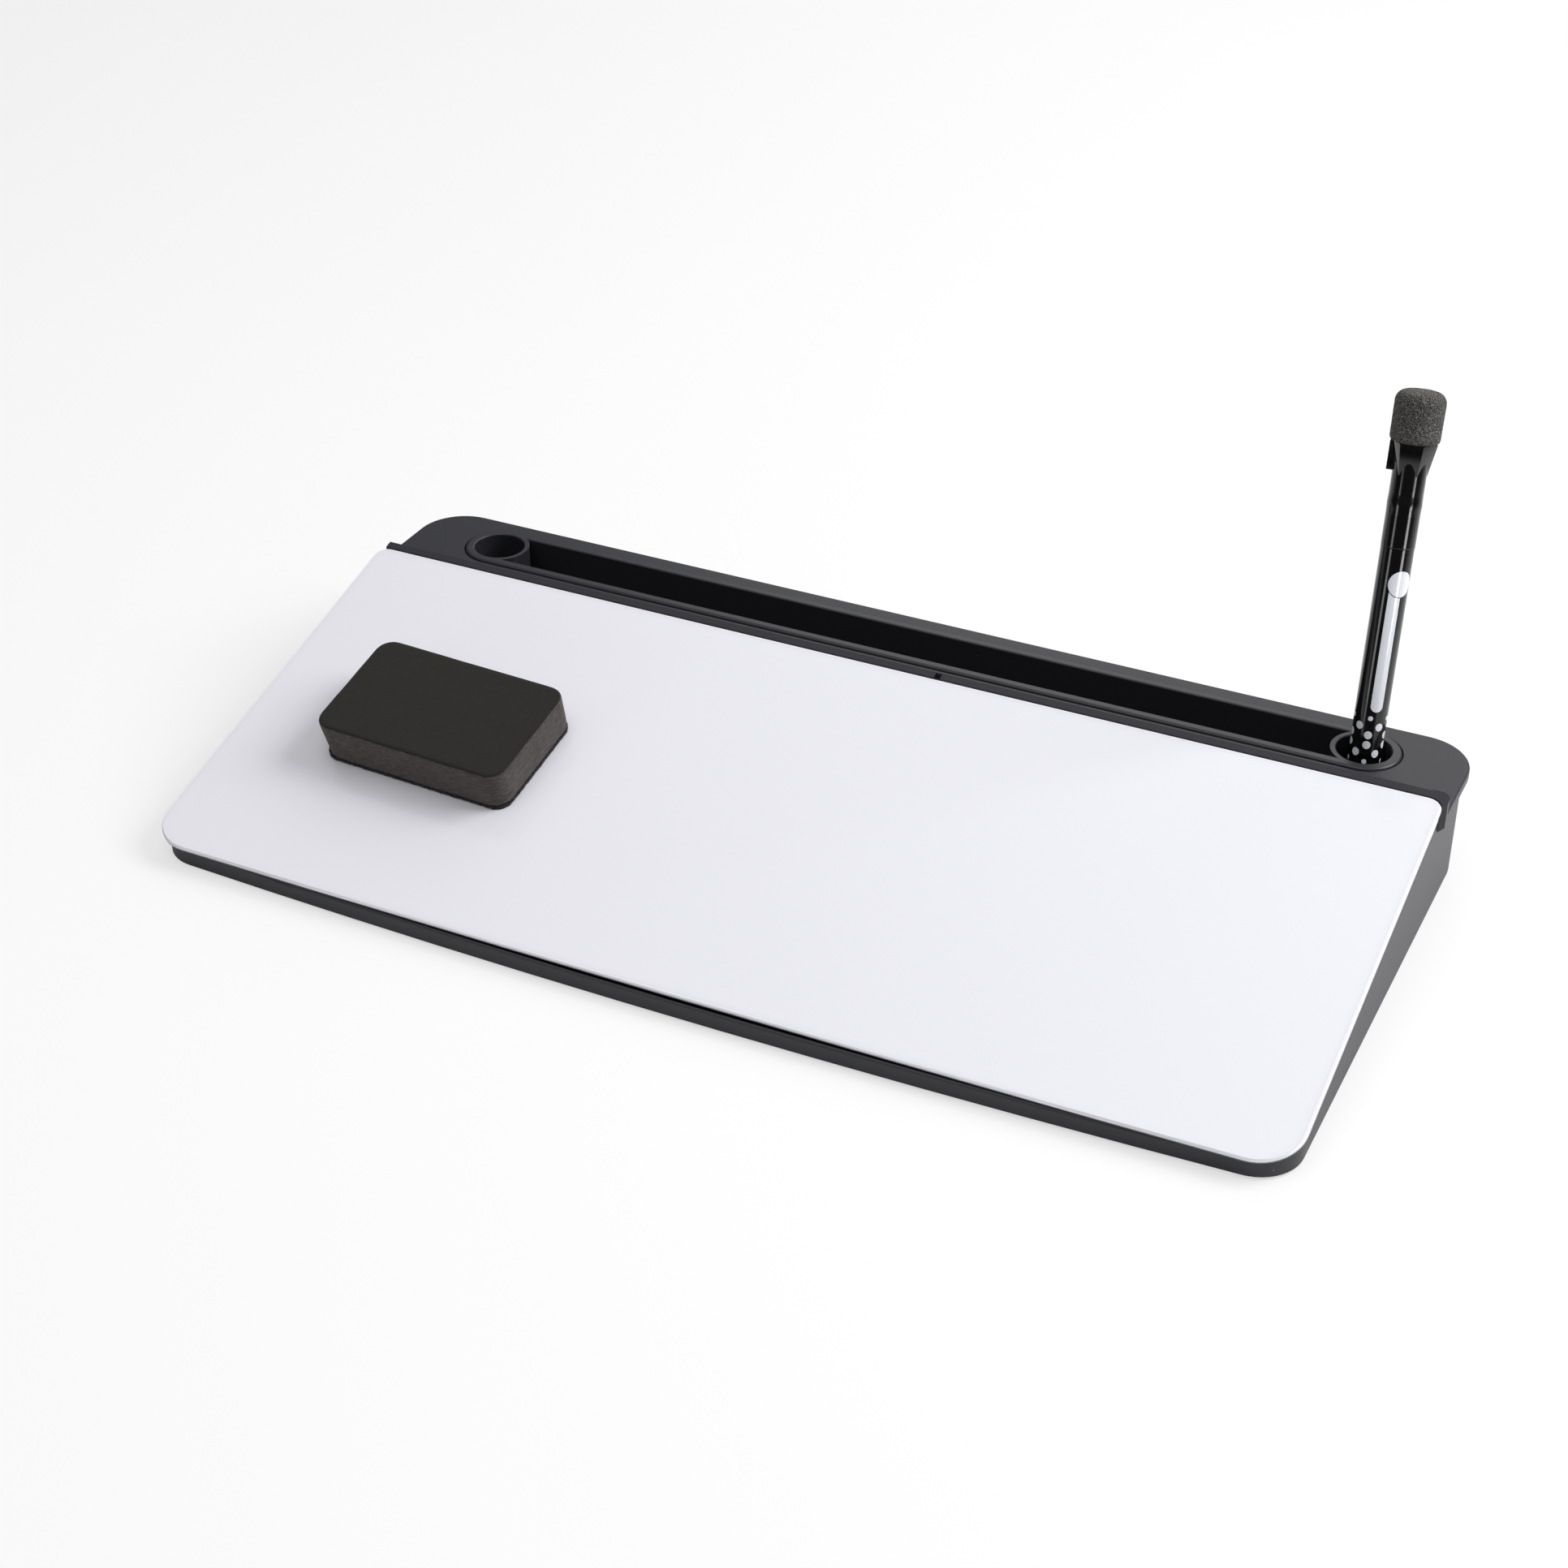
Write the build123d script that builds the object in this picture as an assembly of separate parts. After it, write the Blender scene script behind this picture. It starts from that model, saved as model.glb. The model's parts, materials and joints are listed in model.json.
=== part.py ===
from build123d import *
from math import cos, radians, sin, sqrt, tan
import os

# Desktop dry-erase board: a white-backed glass panel on a wedge base, with a holder for
# pens and a phone behind it. Millimetres. X runs along the board, +Y to the rear, +Z up.
# The origin is on the table, under the middle of the whole object, leaning marker included.

# Overall sizes
deck_width = 400.0
rear_depth = 45.5
foot_height = 1.0

# Base shell
wall = 2.2
floor_thickness = 2.0
body_front_bow = 5.2
body_front_corner_r = 15.0
lip_thickness = 1.0
lip_height = 5.5
wall_top_round = 0.8
divider_thickness = 2.0
divider_count = 2
partition_thickness = 2.4
partition_lead = 0.7

# Board: glass, its white backing, foam tape and the tray that carries them
board_tilt = 13.9
board_setback = 1.75
board_front_height = 7.0
board_left_overhang = 0.2
board_right_inset = 1.2
board_depth = 158.9
board_front_bow = 1.7
board_front_corner_r = 15.0
board_rear_corner_r = 5.0
board_gap = 0.3
glass_thickness = 1.6
glass_arris = 0.4
backing_thickness = 0.2
backing_margin = 0.5
tape_thickness = 0.6
tape_width = 24.0
tape_count = 4
tape_end_margin = 30.0
tape_edge_margin = 12.0
tray_thickness = 1.6
tray_front_margin = 4.5
tray_rear_margin = 2.4
tray_wall_gap = 0.6
pad_thickness = 1.2
pad_radius = 4.0
pad_margin = 1.5
pad_inset_x = 49.5
pads_per_row = 3
ledge_margin = 0.5
ledge_thickness = 4.0

# Rear deck with its ridge, flange and corner post
deck_drop = 5.0
deck_thickness = 2.4
flange_height = 4.5
flange_wall = 1.85
flange_gap = 0.15
deck_corner_r = 17.5
deck_edge_round = 1.0
ridge_width = 3.2
ridge_gap = 0.4
ridge_end_inset = 2.0
ridge_edge_round = 0.4
post_reach = 3.0
post_corner_r = 3.0
post_blend_down = 1.2
post_blend_forward = 1.5
notch_x = 22.4
notch_width = 2.4
notch_depth = 1.2
notch_back_wall = 0.8
collar_wall = 2.6
collar_height = 4.4
boss_radius = 3.4
boss_inset = 10.4
boss_mid_x = 62.0

# Holder: two pen cups joined by a long slot for a phone or tablet
cup_inset_x = 34.8
holder_inset_y = 19.0
cup_bore_r = 9.2
cup_tube_wall = 2.0
cup_depth = 18.2
slot_width = 18.0
slot_depth = 15.5
holder_wall = 2.5
holder_flange_reach = 1.2
holder_floor = 2.0
holder_rim_height = 0.8
holder_rim_round = 1.1
holder_seat_depth = 2.0
holder_gap = 0.4
holder_skirt_gap = 0.3
bore_edge_round = 0.6

# Fasteners and feet
screw_radius = 1.4
screw_length = 11.0
screw_tip_room = 2.0
screw_head_radius = 2.7
screw_head_height = 1.4
screw_drive_radius = 1.2
screw_drive_depth = 0.8
screw_gap = 0.05
recess_gap = 0.1
foot_radius = 7.0
foot_recess = 0.6
foot_inset_x = 22.0
foot_inset_y = 20.0
foot_edge_round = 0.4

# Marker, standing in the right cup and leaning back against its rim
marker_offset_x = 0.36
marker_lean_back = 15.25
marker_lean_side = -1.75
marker_floor_gap = 0.2
marker_rim_gap = 0.3
barrel_length = 85.4
barrel_radius = 5.5
barrel_wall = 0.9
barrel_neck = 1.5
end_plug_length = 4.0
end_plug_insert = 5.0
end_plug_round = 0.8
fit_gap = 0.05
cap_length = 34.5
cap_radius = 5.6
cap_wall = 0.9
cap_end = 1.6
cap_gap = 0.1
shoulder_length = 17.0
nib_holder_length = 9.0
nib_holder_insert = 4.0
nib_holder_tip_r = 2.7
nib_radius = 1.6
nib_length = 26.0
nib_reach = 5.0
nib_round = 1.2
reservoir_gap = 0.1
seal_length = 12.0
seal_wall = 0.6
head_radius = 8.3
head_length = 17.0
head_top_round = 4.0
head_low_round = 1.4
head_socket_depth = 4.0
head_socket_r = 4.2
flare_length = 10.4
flare_reach = 2.1
flare_root = 0.05
flare_sides = 6
cap_turn = 6.5
tab_length = 9.7
tab_reach = 2.0
tab_width = 3.0

# Eraser, lying on the glass
eraser_inset_x = 76.0
eraser_along = 76.8
eraser_turn = -2.5
eraser_width = 74.0
eraser_depth = 47.0
eraser_corner_r = 6.3
eraser_foam_thickness = 13.8
eraser_felt_thickness = 1.8
eraser_felt_inset = 0.4
eraser_edge_round = 1.2

# Longer than anything in the model, for cuts that run right through
beyond = 500.0

# The marker's lean, and how far it sets back from the rear face and reaches beyond it
lean = radians(marker_lean_back)
lean_reach = sin(lean) * cos(radians(marker_lean_side))
marker_rise = cup_depth - marker_floor_gap + holder_rim_height - bore_edge_round
marker_rise -= barrel_radius * sin(lean)
marker_setback = holder_inset_y - cup_bore_r + marker_rim_gap
marker_setback += barrel_radius / cos(lean) + marker_rise * tan(lean)
marker_length = barrel_length + cap_length + head_length
marker_overhang = (marker_length - head_top_round) * lean_reach + head_top_round
marker_overhang += (head_radius - head_top_round) * sqrt(1 - lean_reach**2) - marker_setback

# Front and rear of the base, and the sloping frame of the board
base_depth = board_setback + board_depth * cos(radians(board_tilt)) + rear_depth
front_y = -(base_depth + marker_overhang) / 2
rear_y = front_y + base_depth
board_front_y = front_y + board_setback
board_front_z = foot_height + board_front_height
board_frame = Location((0, board_front_y, board_front_z), (board_tilt, 0, 0))


def slope_point(along, height):
    """Y and Z of a point given along the board's slope and square to it."""
    angle = radians(board_tilt)
    y = board_front_y + along * cos(angle) - height * sin(angle)
    z = board_front_z + along * sin(angle) + height * cos(angle)
    return y, z


def slope_z(y, height):
    """Z of a plane parallel to the glass, at a given Y."""
    angle = radians(board_tilt)
    return board_front_z + (y - board_front_y) * tan(angle) + height / cos(angle)


def slope_y(z, height):
    """Y at which a plane parallel to the glass passes a given Z."""
    angle = radians(board_tilt)
    return board_front_y + (z - board_front_z - height / cos(angle)) / tan(angle)


def slope_along(y, height):
    """Distance along the slope at which a plane parallel to the glass passes a given Y."""
    angle = radians(board_tilt)
    return (y - board_front_y + height * sin(angle)) / cos(angle)


# Heights in the board frame, measured square to the glass from its top face
tape_under_w = -(glass_thickness + backing_thickness + tape_thickness)
tray_under_w = tape_under_w - tray_thickness
ledge_w = tray_under_w - pad_thickness
wall_top_w = -(glass_thickness + board_gap)

# Places worked out from the sizes above
half_deck = deck_width / 2
half_body = half_deck - flange_wall - flange_gap
body_rear_y = rear_y - flange_wall - flange_gap
floor_top_z = foot_height + floor_thickness
lip_top_z = foot_height + lip_height
board_left_x = -half_deck - board_left_overhang
board_right_x = half_deck - board_right_inset
board_center_x = (board_left_x + board_right_x) / 2
half_board = (board_right_x - board_left_x) / 2
board_rear_y, board_rear_z = slope_point(board_depth, 0)
deck_top_z = board_rear_z - deck_drop
deck_under_z = deck_top_z - deck_thickness
flange_under_z = deck_top_z - flange_height
ridge_front_y = board_rear_y + ridge_gap
ridge_rear_y = ridge_front_y + ridge_width
ridge_top_z = slope_z(ridge_rear_y, 0)
partition_y = ridge_front_y - partition_lead
partition_far_y = partition_y + partition_thickness
cup_center_x = half_deck - cup_inset_x
holder_center_y = rear_y - holder_inset_y
holder_skirt_r = slot_width / 2 + holder_wall
holder_flange_r = holder_skirt_r + holder_flange_reach
collar_r = holder_skirt_r + holder_skirt_gap + collar_wall
front_boss_y = (partition_far_y + holder_center_y - collar_r) / 2

# The marker's own heights, from the bottom of its barrel
marker_base_y = rear_y - marker_setback
marker_base_z = deck_top_z - cup_depth + marker_floor_gap + barrel_radius * sin(lean)
cap_top_z = barrel_length + cap_length
bore_r = barrel_radius - barrel_wall
shoulder_r = cap_radius - cap_wall - cap_gap
shoulder_bore_r = shoulder_r - barrel_wall
shoulder_top_z = barrel_length + shoulder_length
nib_holder_top_z = shoulder_top_z + nib_holder_length
nib_top_z = nib_holder_top_z + nib_reach
nib_low_z = nib_top_z - nib_length


def bowed_outline(center_x, half_width, near_y, far_y, bow, near_r, far_r):
    """Rectangle with its near edge bowed outward and its four corners rounded."""
    left = center_x - half_width
    right = center_x + half_width
    near = ThreePointArc((left, near_y + bow), (center_x, near_y), (right, near_y + bow))
    rest = Polyline((right, near_y + bow), (right, far_y), (left, far_y), (left, near_y + bow))
    face = make_face(near + rest)
    face = fillet(face.vertices().sort_by(Axis.Y)[:2], near_r)
    return fillet(face.vertices().sort_by(Axis.Y)[-2:], far_r)


def board_outline(grow=0.0):
    """The glass outline in the board frame, grown by a margin."""
    return bowed_outline(
        board_center_x,
        half_board + grow,
        -grow,
        board_depth + grow,
        board_front_bow,
        board_front_corner_r + grow,
        board_rear_corner_r + grow,
    )


def board_prism(outline, low, high):
    """A plan outline of the board frame raised square to the slope, from low to high."""
    return board_frame * (Pos(0, 0, low) * extrude(outline, high - low))


def centered_box(x_low, x_high, y_low, y_high, z_low, z_high):
    """A box given by its limits."""
    middle = Pos((x_low + x_high) / 2, (y_low + y_high) / 2, (z_low + z_high) / 2)
    return middle * Box(x_high - x_low, y_high - y_low, z_high - z_low)


def board_block(x_low, x_high, along_low, along_high, low, high):
    """A box in the board frame."""
    return board_frame * centered_box(x_low, x_high, along_low, along_high, low, high)


def rod(radius, z_low, z_high, x=0.0, y=0.0):
    """A round bar along Z."""
    return Pos(x, y, z_low) * extrude(Circle(radius), z_high - z_low)


def side_profile(points, x_low, x_high):
    """A closed outline of Y and Z points, run along X."""
    corners = [(x_low, y, z) for y, z in points]
    face = make_face(Polyline(*corners, corners[0]))
    return extrude(face, x_high - x_low, dir=(1, 0, 0))


def rounded_rear(half_width, near_y, far_y, corner_r):
    """Plan rectangle with its two rear corners rounded."""
    face = Pos(0, (near_y + far_y) / 2) * Rectangle(2 * half_width, far_y - near_y)
    return fillet(face.vertices().sort_by(Axis.Y)[-2:], corner_r)


def boss_places():
    """The six screw bosses that tie the deck to the base floor."""
    boss_x = half_body - boss_inset
    places = [(side * boss_x, rear_y - boss_inset) for side in (-1, 1)]
    places += [(x, front_boss_y) for x in (-boss_x, -boss_mid_x, boss_mid_x, boss_x)]
    return places


def foot_places():
    """The four rubber feet."""
    foot_x = half_body - foot_inset_x
    near_y = front_y + foot_inset_y
    far_y = rear_y - foot_inset_y
    return [(side * foot_x, y) for side in (-1, 1) for y in (near_y, far_y)]


def pad_rows():
    """Slope positions of the two rows of cushions, centred on their ledges."""
    front = tray_front_margin + pad_margin + pad_radius
    rear = board_depth - tray_rear_margin - pad_margin - pad_radius
    return front, rear


def pad_places():
    """X and slope position of the cushions that the board tray rests on."""
    first_x = board_left_x + pad_inset_x
    step = 2 * (half_board - pad_inset_x) / (pads_per_row - 1)
    across = [first_x + index * step for index in range(pads_per_row)]
    return [(x, along) for along in pad_rows() for x in across]


def make_base_shell():
    """Wedge tub: floor, walls, front lip, partition, dividers and board ledges."""
    outer_plan = bowed_outline(
        0,
        half_body,
        front_y,
        body_rear_y,
        body_front_bow,
        body_front_corner_r,
        deck_corner_r - flange_wall - flange_gap,
    )
    inner_plan = bowed_outline(
        0,
        half_body - wall,
        front_y + lip_thickness,
        body_rear_y - wall,
        body_front_bow,
        body_front_corner_r - lip_thickness,
        deck_corner_r - flange_wall - flange_gap - wall,
    )
    outer = Pos(0, 0, foot_height) * extrude(outer_plan, board_rear_z)
    pocket = Pos(0, 0, floor_top_z) * extrude(inner_plan, board_rear_z)
    shell = outer - wall_tops()
    shell = fillet(wall_top_edges(shell), wall_top_round)
    shell -= pocket
    inside = make_partition() + make_dividers() + make_ledges()
    shell += inside & (Pos(0, 0, floor_top_z - foot_height / 2) * extrude(inner_plan, beyond))
    for x, y in foot_places():
        shell -= rod(foot_radius + recess_gap, 0, foot_height + foot_recess, x, y)
    for x, y in boss_places():
        shell -= rod(screw_radius + screw_gap, 0, floor_top_z, x, y)
        shell -= rod(screw_head_radius + recess_gap, 0, foot_height + screw_head_height, x, y)
    return shell


def wall_tops():
    """All that lies above the walls: level lip, slope, then level under the deck."""
    near_y = front_y - body_front_bow
    slope_end_y = ridge_front_y - board_gap
    points = [
        (near_y, lip_top_z),
        (slope_y(lip_top_z, wall_top_w), lip_top_z),
        (slope_end_y, slope_z(slope_end_y, wall_top_w)),
        (slope_end_y, deck_under_z),
        (rear_y, deck_under_z),
        (rear_y, beyond),
        (near_y, beyond),
    ]
    return side_profile(points, -half_deck, half_deck)


def wall_top_edges(block):
    """The outer top edges of the lip, the front corners and the sloping side walls."""
    tops = block.edges().filter_by(lambda e: floor_top_z < e.center().Z < ridge_top_z)
    tops = tops.filter_by(lambda e: e.center().Y < ridge_front_y - ridge_width)
    return tops.filter_by(Axis.X, reverse=True).sort_by(Axis.Y)


def make_partition():
    """Cross wall under the front of the deck."""
    return centered_box(
        -half_body, half_body, partition_y, partition_far_y, foot_height, deck_under_z
    )


def make_dividers():
    """Ribs that split the space under the board into bays."""
    pitch = 2 * half_body / (divider_count + 1)
    ribs = []
    for index in range(divider_count):
        x = -half_body + pitch * (index + 1)
        rib = board_block(
            x - divider_thickness / 2, x + divider_thickness / 2, 0, beyond, -beyond, ledge_w
        )
        ribs.append(rib - behind_partition_face())
    return ribs[0].fuse(*ribs[1:])


def behind_partition_face():
    """The space behind a plane just inside the front face of the partition."""
    near_y = partition_y + partition_lead / 2
    return centered_box(-beyond, beyond, near_y, near_y + beyond, -beyond, beyond)


def make_ledges():
    """Shelves under the board tray: a solid one along the front, one on the partition."""
    front, rear = pad_rows()
    reach = pad_radius + ledge_margin
    near = board_block(-half_body, half_body, front - reach, front + reach, -beyond, ledge_w)
    back = slope_along(partition_far_y, ledge_w)
    far = board_block(
        -half_body, half_body, rear - reach, back, ledge_w - ledge_thickness, ledge_w
    )
    return near + (far - behind_partition_face())


def holder_outline(radius):
    """Obround round both cup centres."""
    return Pos(0, holder_center_y) * SlotCenterToCenter(2 * cup_center_x, 2 * radius)


def make_rear_deck():
    """Deck plate with its flange, ridge, corner post, holder opening and screw bosses."""
    plan = rounded_rear(half_deck, ridge_front_y, rear_y, deck_corner_r)
    deck = Pos(0, 0, flange_under_z) * extrude(plan, flange_height)
    deck = fillet(deck_rim_edges(deck), deck_edge_round)
    hollow = rounded_rear(
        half_deck - flange_wall, 0, rear_y - flange_wall, deck_corner_r - flange_wall
    )
    deck -= extrude(hollow, deck_under_z)
    deck += make_ridge() + make_post()
    collar = extrude(holder_outline(collar_r), collar_height)
    deck += Pos(0, 0, deck_top_z - collar_height) * collar
    for x, y in boss_places():
        deck += rod(boss_radius, floor_top_z, deck_under_z + deck_thickness / 2, x, y)
    deck -= extrude(holder_outline(holder_skirt_r + holder_skirt_gap), beyond)
    seat = extrude(holder_outline(holder_flange_r + holder_gap), beyond)
    deck -= Pos(0, 0, deck_top_z - holder_seat_depth) * seat
    for x, y in boss_places():
        tip_z = foot_height + screw_length + screw_tip_room
        deck -= rod(screw_radius + screw_gap, floor_top_z, tip_z, x, y)
    return deck


def deck_rim_edges(solid):
    """Outer edges of the flange, top and bottom, apart from its front ends."""
    edges = solid.edges().filter_by(Axis.Z, reverse=True)
    return edges.filter_by(lambda e: e.center().Y > ridge_front_y + ridge_gap)


def make_ridge():
    """Raised ridge behind the glass, its top in the plane of the glass, with one notch."""
    foot_z = deck_under_z + deck_thickness / 2
    top_front_z = slope_z(ridge_front_y, 0)
    points = [
        (ridge_front_y, foot_z),
        (ridge_front_y, top_front_z),
        (ridge_rear_y, ridge_top_z),
        (ridge_rear_y, foot_z),
    ]
    ridge = side_profile(points, ridge_end_inset - half_deck, half_deck - post_corner_r)
    long_edges = ridge.edges().filter_by(Axis.X)
    ridge = fillet(long_edges.filter_by(lambda e: e.center().Z > deck_top_z), ridge_edge_round)
    return ridge - centered_box(
        notch_x - notch_width / 2,
        notch_x + notch_width / 2,
        ridge_front_y,
        ridge_rear_y - notch_back_wall,
        top_front_z - notch_depth,
        beyond,
    )


def make_post():
    """Post that closes the ridge's right end and wraps the rear corner of the glass."""
    wall_x = half_body + flange_gap
    front = ridge_front_y - post_reach
    low_z = flange_under_z - post_blend_down
    plan = make_face(
        Polyline(
            (wall_x, front),
            (half_deck, front + post_blend_forward),
            (half_deck, ridge_rear_y),
            (wall_x, ridge_rear_y),
            (wall_x, front),
        )
    )
    taper = [
        (wall_x, low_z),
        (half_deck, flange_under_z),
        (half_deck, beyond),
        (wall_x, beyond),
    ]
    section = make_face(Polyline(*[(x, 0, z) for x, z in taper + taper[:1]]))
    outside = extrude(plan, beyond) & extrude(section, beyond, dir=(0, 1, 0))
    inner_r = board_rear_corner_r + board_gap
    top = centered_box(
        board_right_x + board_gap - inner_r,
        half_deck,
        ridge_front_y - inner_r,
        ridge_rear_y,
        flange_under_z,
        beyond,
    )
    top &= board_block(0, half_deck, 0, beyond, wall_top_w, beyond)
    over_wall = centered_box(0, wall_x, front, ridge_rear_y, 0, beyond)
    post = outside + (top & (extrude(plan, beyond) + over_wall))
    post = fillet(post_corner(post), post_corner_r)
    post -= board_prism(board_outline(board_gap), wall_top_w, beyond)
    return post - board_block(-beyond, beyond, -beyond, beyond, 0, beyond)


def post_corner(post):
    """The upright outer rear edge of the post."""
    uprights = post.edges().filter_by(Axis.Z)
    outer = uprights.filter_by(lambda e: e.center().X > half_deck - flange_gap)
    return outer.filter_by(lambda e: e.center().Y > ridge_rear_y - flange_gap)


def make_deck_screws():
    """Six screws driven up through the floor into the deck bosses."""
    screws = []
    for x, y in boss_places():
        head = rod(screw_head_radius, foot_height, foot_height + screw_head_height, x, y)
        shank = rod(screw_radius, foot_height, foot_height + screw_length, x, y)
        drive = rod(screw_drive_radius, foot_height, foot_height + screw_drive_depth, x, y)
        screws.append(head + shank - drive)
    return Compound(children=screws)


def make_rubber_feet():
    """Four round feet, pressed into shallow recesses in the floor."""
    feet = []
    for x, y in foot_places():
        foot = rod(foot_radius, 0, foot_height + foot_recess, x, y)
        feet.append(fillet(foot.edges().group_by(Axis.Z)[0], foot_edge_round))
    return Compound(children=feet)


def make_rest_pads():
    """Soft pads on the ledges, which carry the board tray."""
    pads = []
    for x, along in pad_places():
        pad = Pos(x, along, ledge_w) * extrude(Circle(pad_radius), pad_thickness)
        pads.append(board_frame * pad)
    return Compound(children=pads)


def make_glass():
    """Glass panel with a ground edge."""
    pane = extrude(board_outline(), -glass_thickness)
    pane = chamfer(pane.edges().group_by(Axis.Z)[-1], glass_arris)
    return board_frame * pane


def make_backing():
    """White film behind the glass."""
    outline = board_outline(-backing_margin)
    return board_prism(outline, -glass_thickness - backing_thickness, -glass_thickness)


def make_tape():
    """Strips of foam tape between the backing and the tray."""
    near = tray_front_margin + tape_edge_margin
    far = board_depth - tray_rear_margin - tape_edge_margin
    step = (far - near - tape_width) / (tape_count - 1)
    half_length = half_board - tape_end_margin
    strips = []
    for index in range(tape_count):
        low = near + index * step
        strips.append(
            board_block(
                board_center_x - half_length,
                board_center_x + half_length,
                low,
                low + tape_width,
                tape_under_w,
                tape_under_w + tape_thickness,
            )
        )
    return Compound(children=strips)


def make_tray():
    """Flat plastic tray that stiffens the glass."""
    face = bowed_outline(
        0,
        half_body - wall - tray_wall_gap,
        tray_front_margin,
        board_depth - tray_rear_margin,
        board_front_bow,
        body_front_corner_r - lip_thickness,
        board_rear_corner_r,
    )
    return board_prism(face, tray_under_w, tape_under_w)


def make_holder_insert():
    """Lift-out insert: two round pen cups joined by a long slot."""
    rim_z = deck_top_z + holder_rim_height
    seat_z = deck_top_z - holder_seat_depth
    flange = Pos(0, 0, seat_z) * extrude(holder_outline(holder_flange_r), rim_z - seat_z)
    flange = fillet(flange.edges().group_by(Axis.Z)[-1], holder_rim_round)
    slot_floor_z = deck_top_z - slot_depth
    cup_floor_z = deck_top_z - cup_depth
    skirt_low_z = slot_floor_z - holder_floor
    skirt = extrude(holder_outline(holder_skirt_r), seat_z - skirt_low_z)
    insert = flange + Pos(0, 0, skirt_low_z) * skirt
    centers = [(-cup_center_x, holder_center_y), (cup_center_x, holder_center_y)]
    tube_r = cup_bore_r + cup_tube_wall
    for x, y in centers:
        insert += rod(tube_r, cup_floor_z - holder_floor, seat_z, x, y)
    trough = Pos(0, holder_center_y) * Rectangle(2 * cup_center_x, slot_width)
    for x, y in centers:
        trough -= Pos(x, y) * Circle(tube_r)
    insert -= Pos(0, 0, slot_floor_z) * extrude(trough, beyond)
    for x, y in centers:
        insert -= rod(cup_bore_r, cup_floor_z, beyond, x, y)
    top_edges = insert.edges().filter_by(lambda e: abs(e.center().Z - rim_z) < holder_gap)
    return fillet(top_edges.filter_by(is_mouth_edge), bore_edge_round)


def is_mouth_edge(edge):
    """True for the edges of the two cup bores and of the slot between them."""
    if edge.geom_type == GeomType.CIRCLE:
        return edge.radius < holder_skirt_r - holder_rim_round / 2
    return abs(edge.center().Y - holder_center_y) < slot_width / 2 + holder_gap


def marker_place(solid):
    """Move a piece of the marker from its own axis to the right cup."""
    stand = Pos(cup_center_x + marker_offset_x, marker_base_y, marker_base_z)
    return stand * Rot(-marker_lean_back, marker_lean_side, 0) * solid


def make_barrel():
    """Hollow barrel with the stepped shoulder that the cap pushes over."""
    tube = rod(barrel_radius, end_plug_length, barrel_length)
    tube += rod(shoulder_r, barrel_length, shoulder_top_z)
    tube -= rod(bore_r, 0, barrel_length - barrel_neck)
    tube -= rod(shoulder_bore_r, 0, shoulder_top_z)
    return marker_place(tube)


def make_end_plug():
    """Plug that closes the tail of the barrel."""
    plug = rod(barrel_radius, 0, end_plug_length)
    plug = fillet(plug.edges().group_by(Axis.Z)[0], end_plug_round)
    plug += rod(bore_r - fit_gap, end_plug_length, end_plug_length + end_plug_insert)
    return marker_place(plug)


def make_reservoir():
    """Felt ink reservoir, from the end plug to the nib."""
    return marker_place(
        rod(shoulder_bore_r - reservoir_gap, end_plug_length + end_plug_insert, nib_low_z)
    )


def make_nib_holder():
    """Tapered front section that holds the nib."""
    base = rod(shoulder_bore_r - fit_gap, shoulder_top_z - nib_holder_insert, shoulder_top_z)
    cone = Cone(shoulder_r, nib_holder_tip_r, nib_holder_length)
    cone = Pos(0, 0, shoulder_top_z + nib_holder_length / 2) * cone
    bore = rod(nib_radius + fit_gap, 0, nib_holder_top_z)
    return marker_place(base + cone - bore)


def make_nib():
    """Bullet writing nib."""
    nib = rod(nib_radius, nib_low_z, nib_top_z)
    return marker_place(fillet(nib.edges().group_by(Axis.Z)[-1], nib_round))


def make_cap():
    """Push-on cap with a rectangular tab, and a six-sided flare under the felt head."""
    cap = rod(cap_radius, barrel_length, cap_top_z)
    cap += rod(head_socket_r, cap_top_z, cap_top_z + head_socket_depth)
    cap += centered_box(
        -cap_radius - tab_reach,
        0,
        -tab_width / 2,
        tab_width / 2,
        cap_top_z - tab_length,
        cap_top_z,
    )
    low = RegularPolygon(cap_radius - flare_root, flare_sides)
    top = RegularPolygon(cap_radius + flare_reach, flare_sides)
    cap += loft([Pos(0, 0, cap_top_z - flare_length) * low, Pos(0, 0, cap_top_z) * top])
    cap -= rod(cap_radius - cap_wall, 0, cap_top_z - cap_end)
    return marker_place(Rot(0, 0, cap_turn) * cap)


def make_seal():
    """Soft sleeve inside the cap that closes round the nib holder."""
    outer_r = cap_radius - cap_wall - fit_gap
    top_z = cap_top_z - cap_end
    sleeve = rod(outer_r, top_z - seal_length, top_z)
    return marker_place(sleeve - rod(outer_r - seal_wall, 0, top_z))


def make_head():
    """Felt eraser head on top of the cap."""
    head = rod(head_radius, cap_top_z, marker_length)
    head = fillet(head.edges().group_by(Axis.Z)[-1], head_top_round)
    head = fillet(head.edges().group_by(Axis.Z)[0], head_low_round)
    head -= rod(head_socket_r + fit_gap, 0, cap_top_z + head_socket_depth)
    return marker_place(head)


def eraser_place(solid):
    """Lay a piece of the eraser on the glass."""
    eraser_x = board_left_x + eraser_inset_x
    return board_frame * Pos(eraser_x, eraser_along, 0) * Rot(0, 0, eraser_turn) * solid


def make_eraser_felt():
    """Felt wiping pad under the foam block."""
    width = eraser_width - 2 * eraser_felt_inset
    depth = eraser_depth - 2 * eraser_felt_inset
    outline = RectangleRounded(width, depth, eraser_corner_r - eraser_felt_inset)
    return eraser_place(extrude(outline, eraser_felt_thickness))


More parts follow.
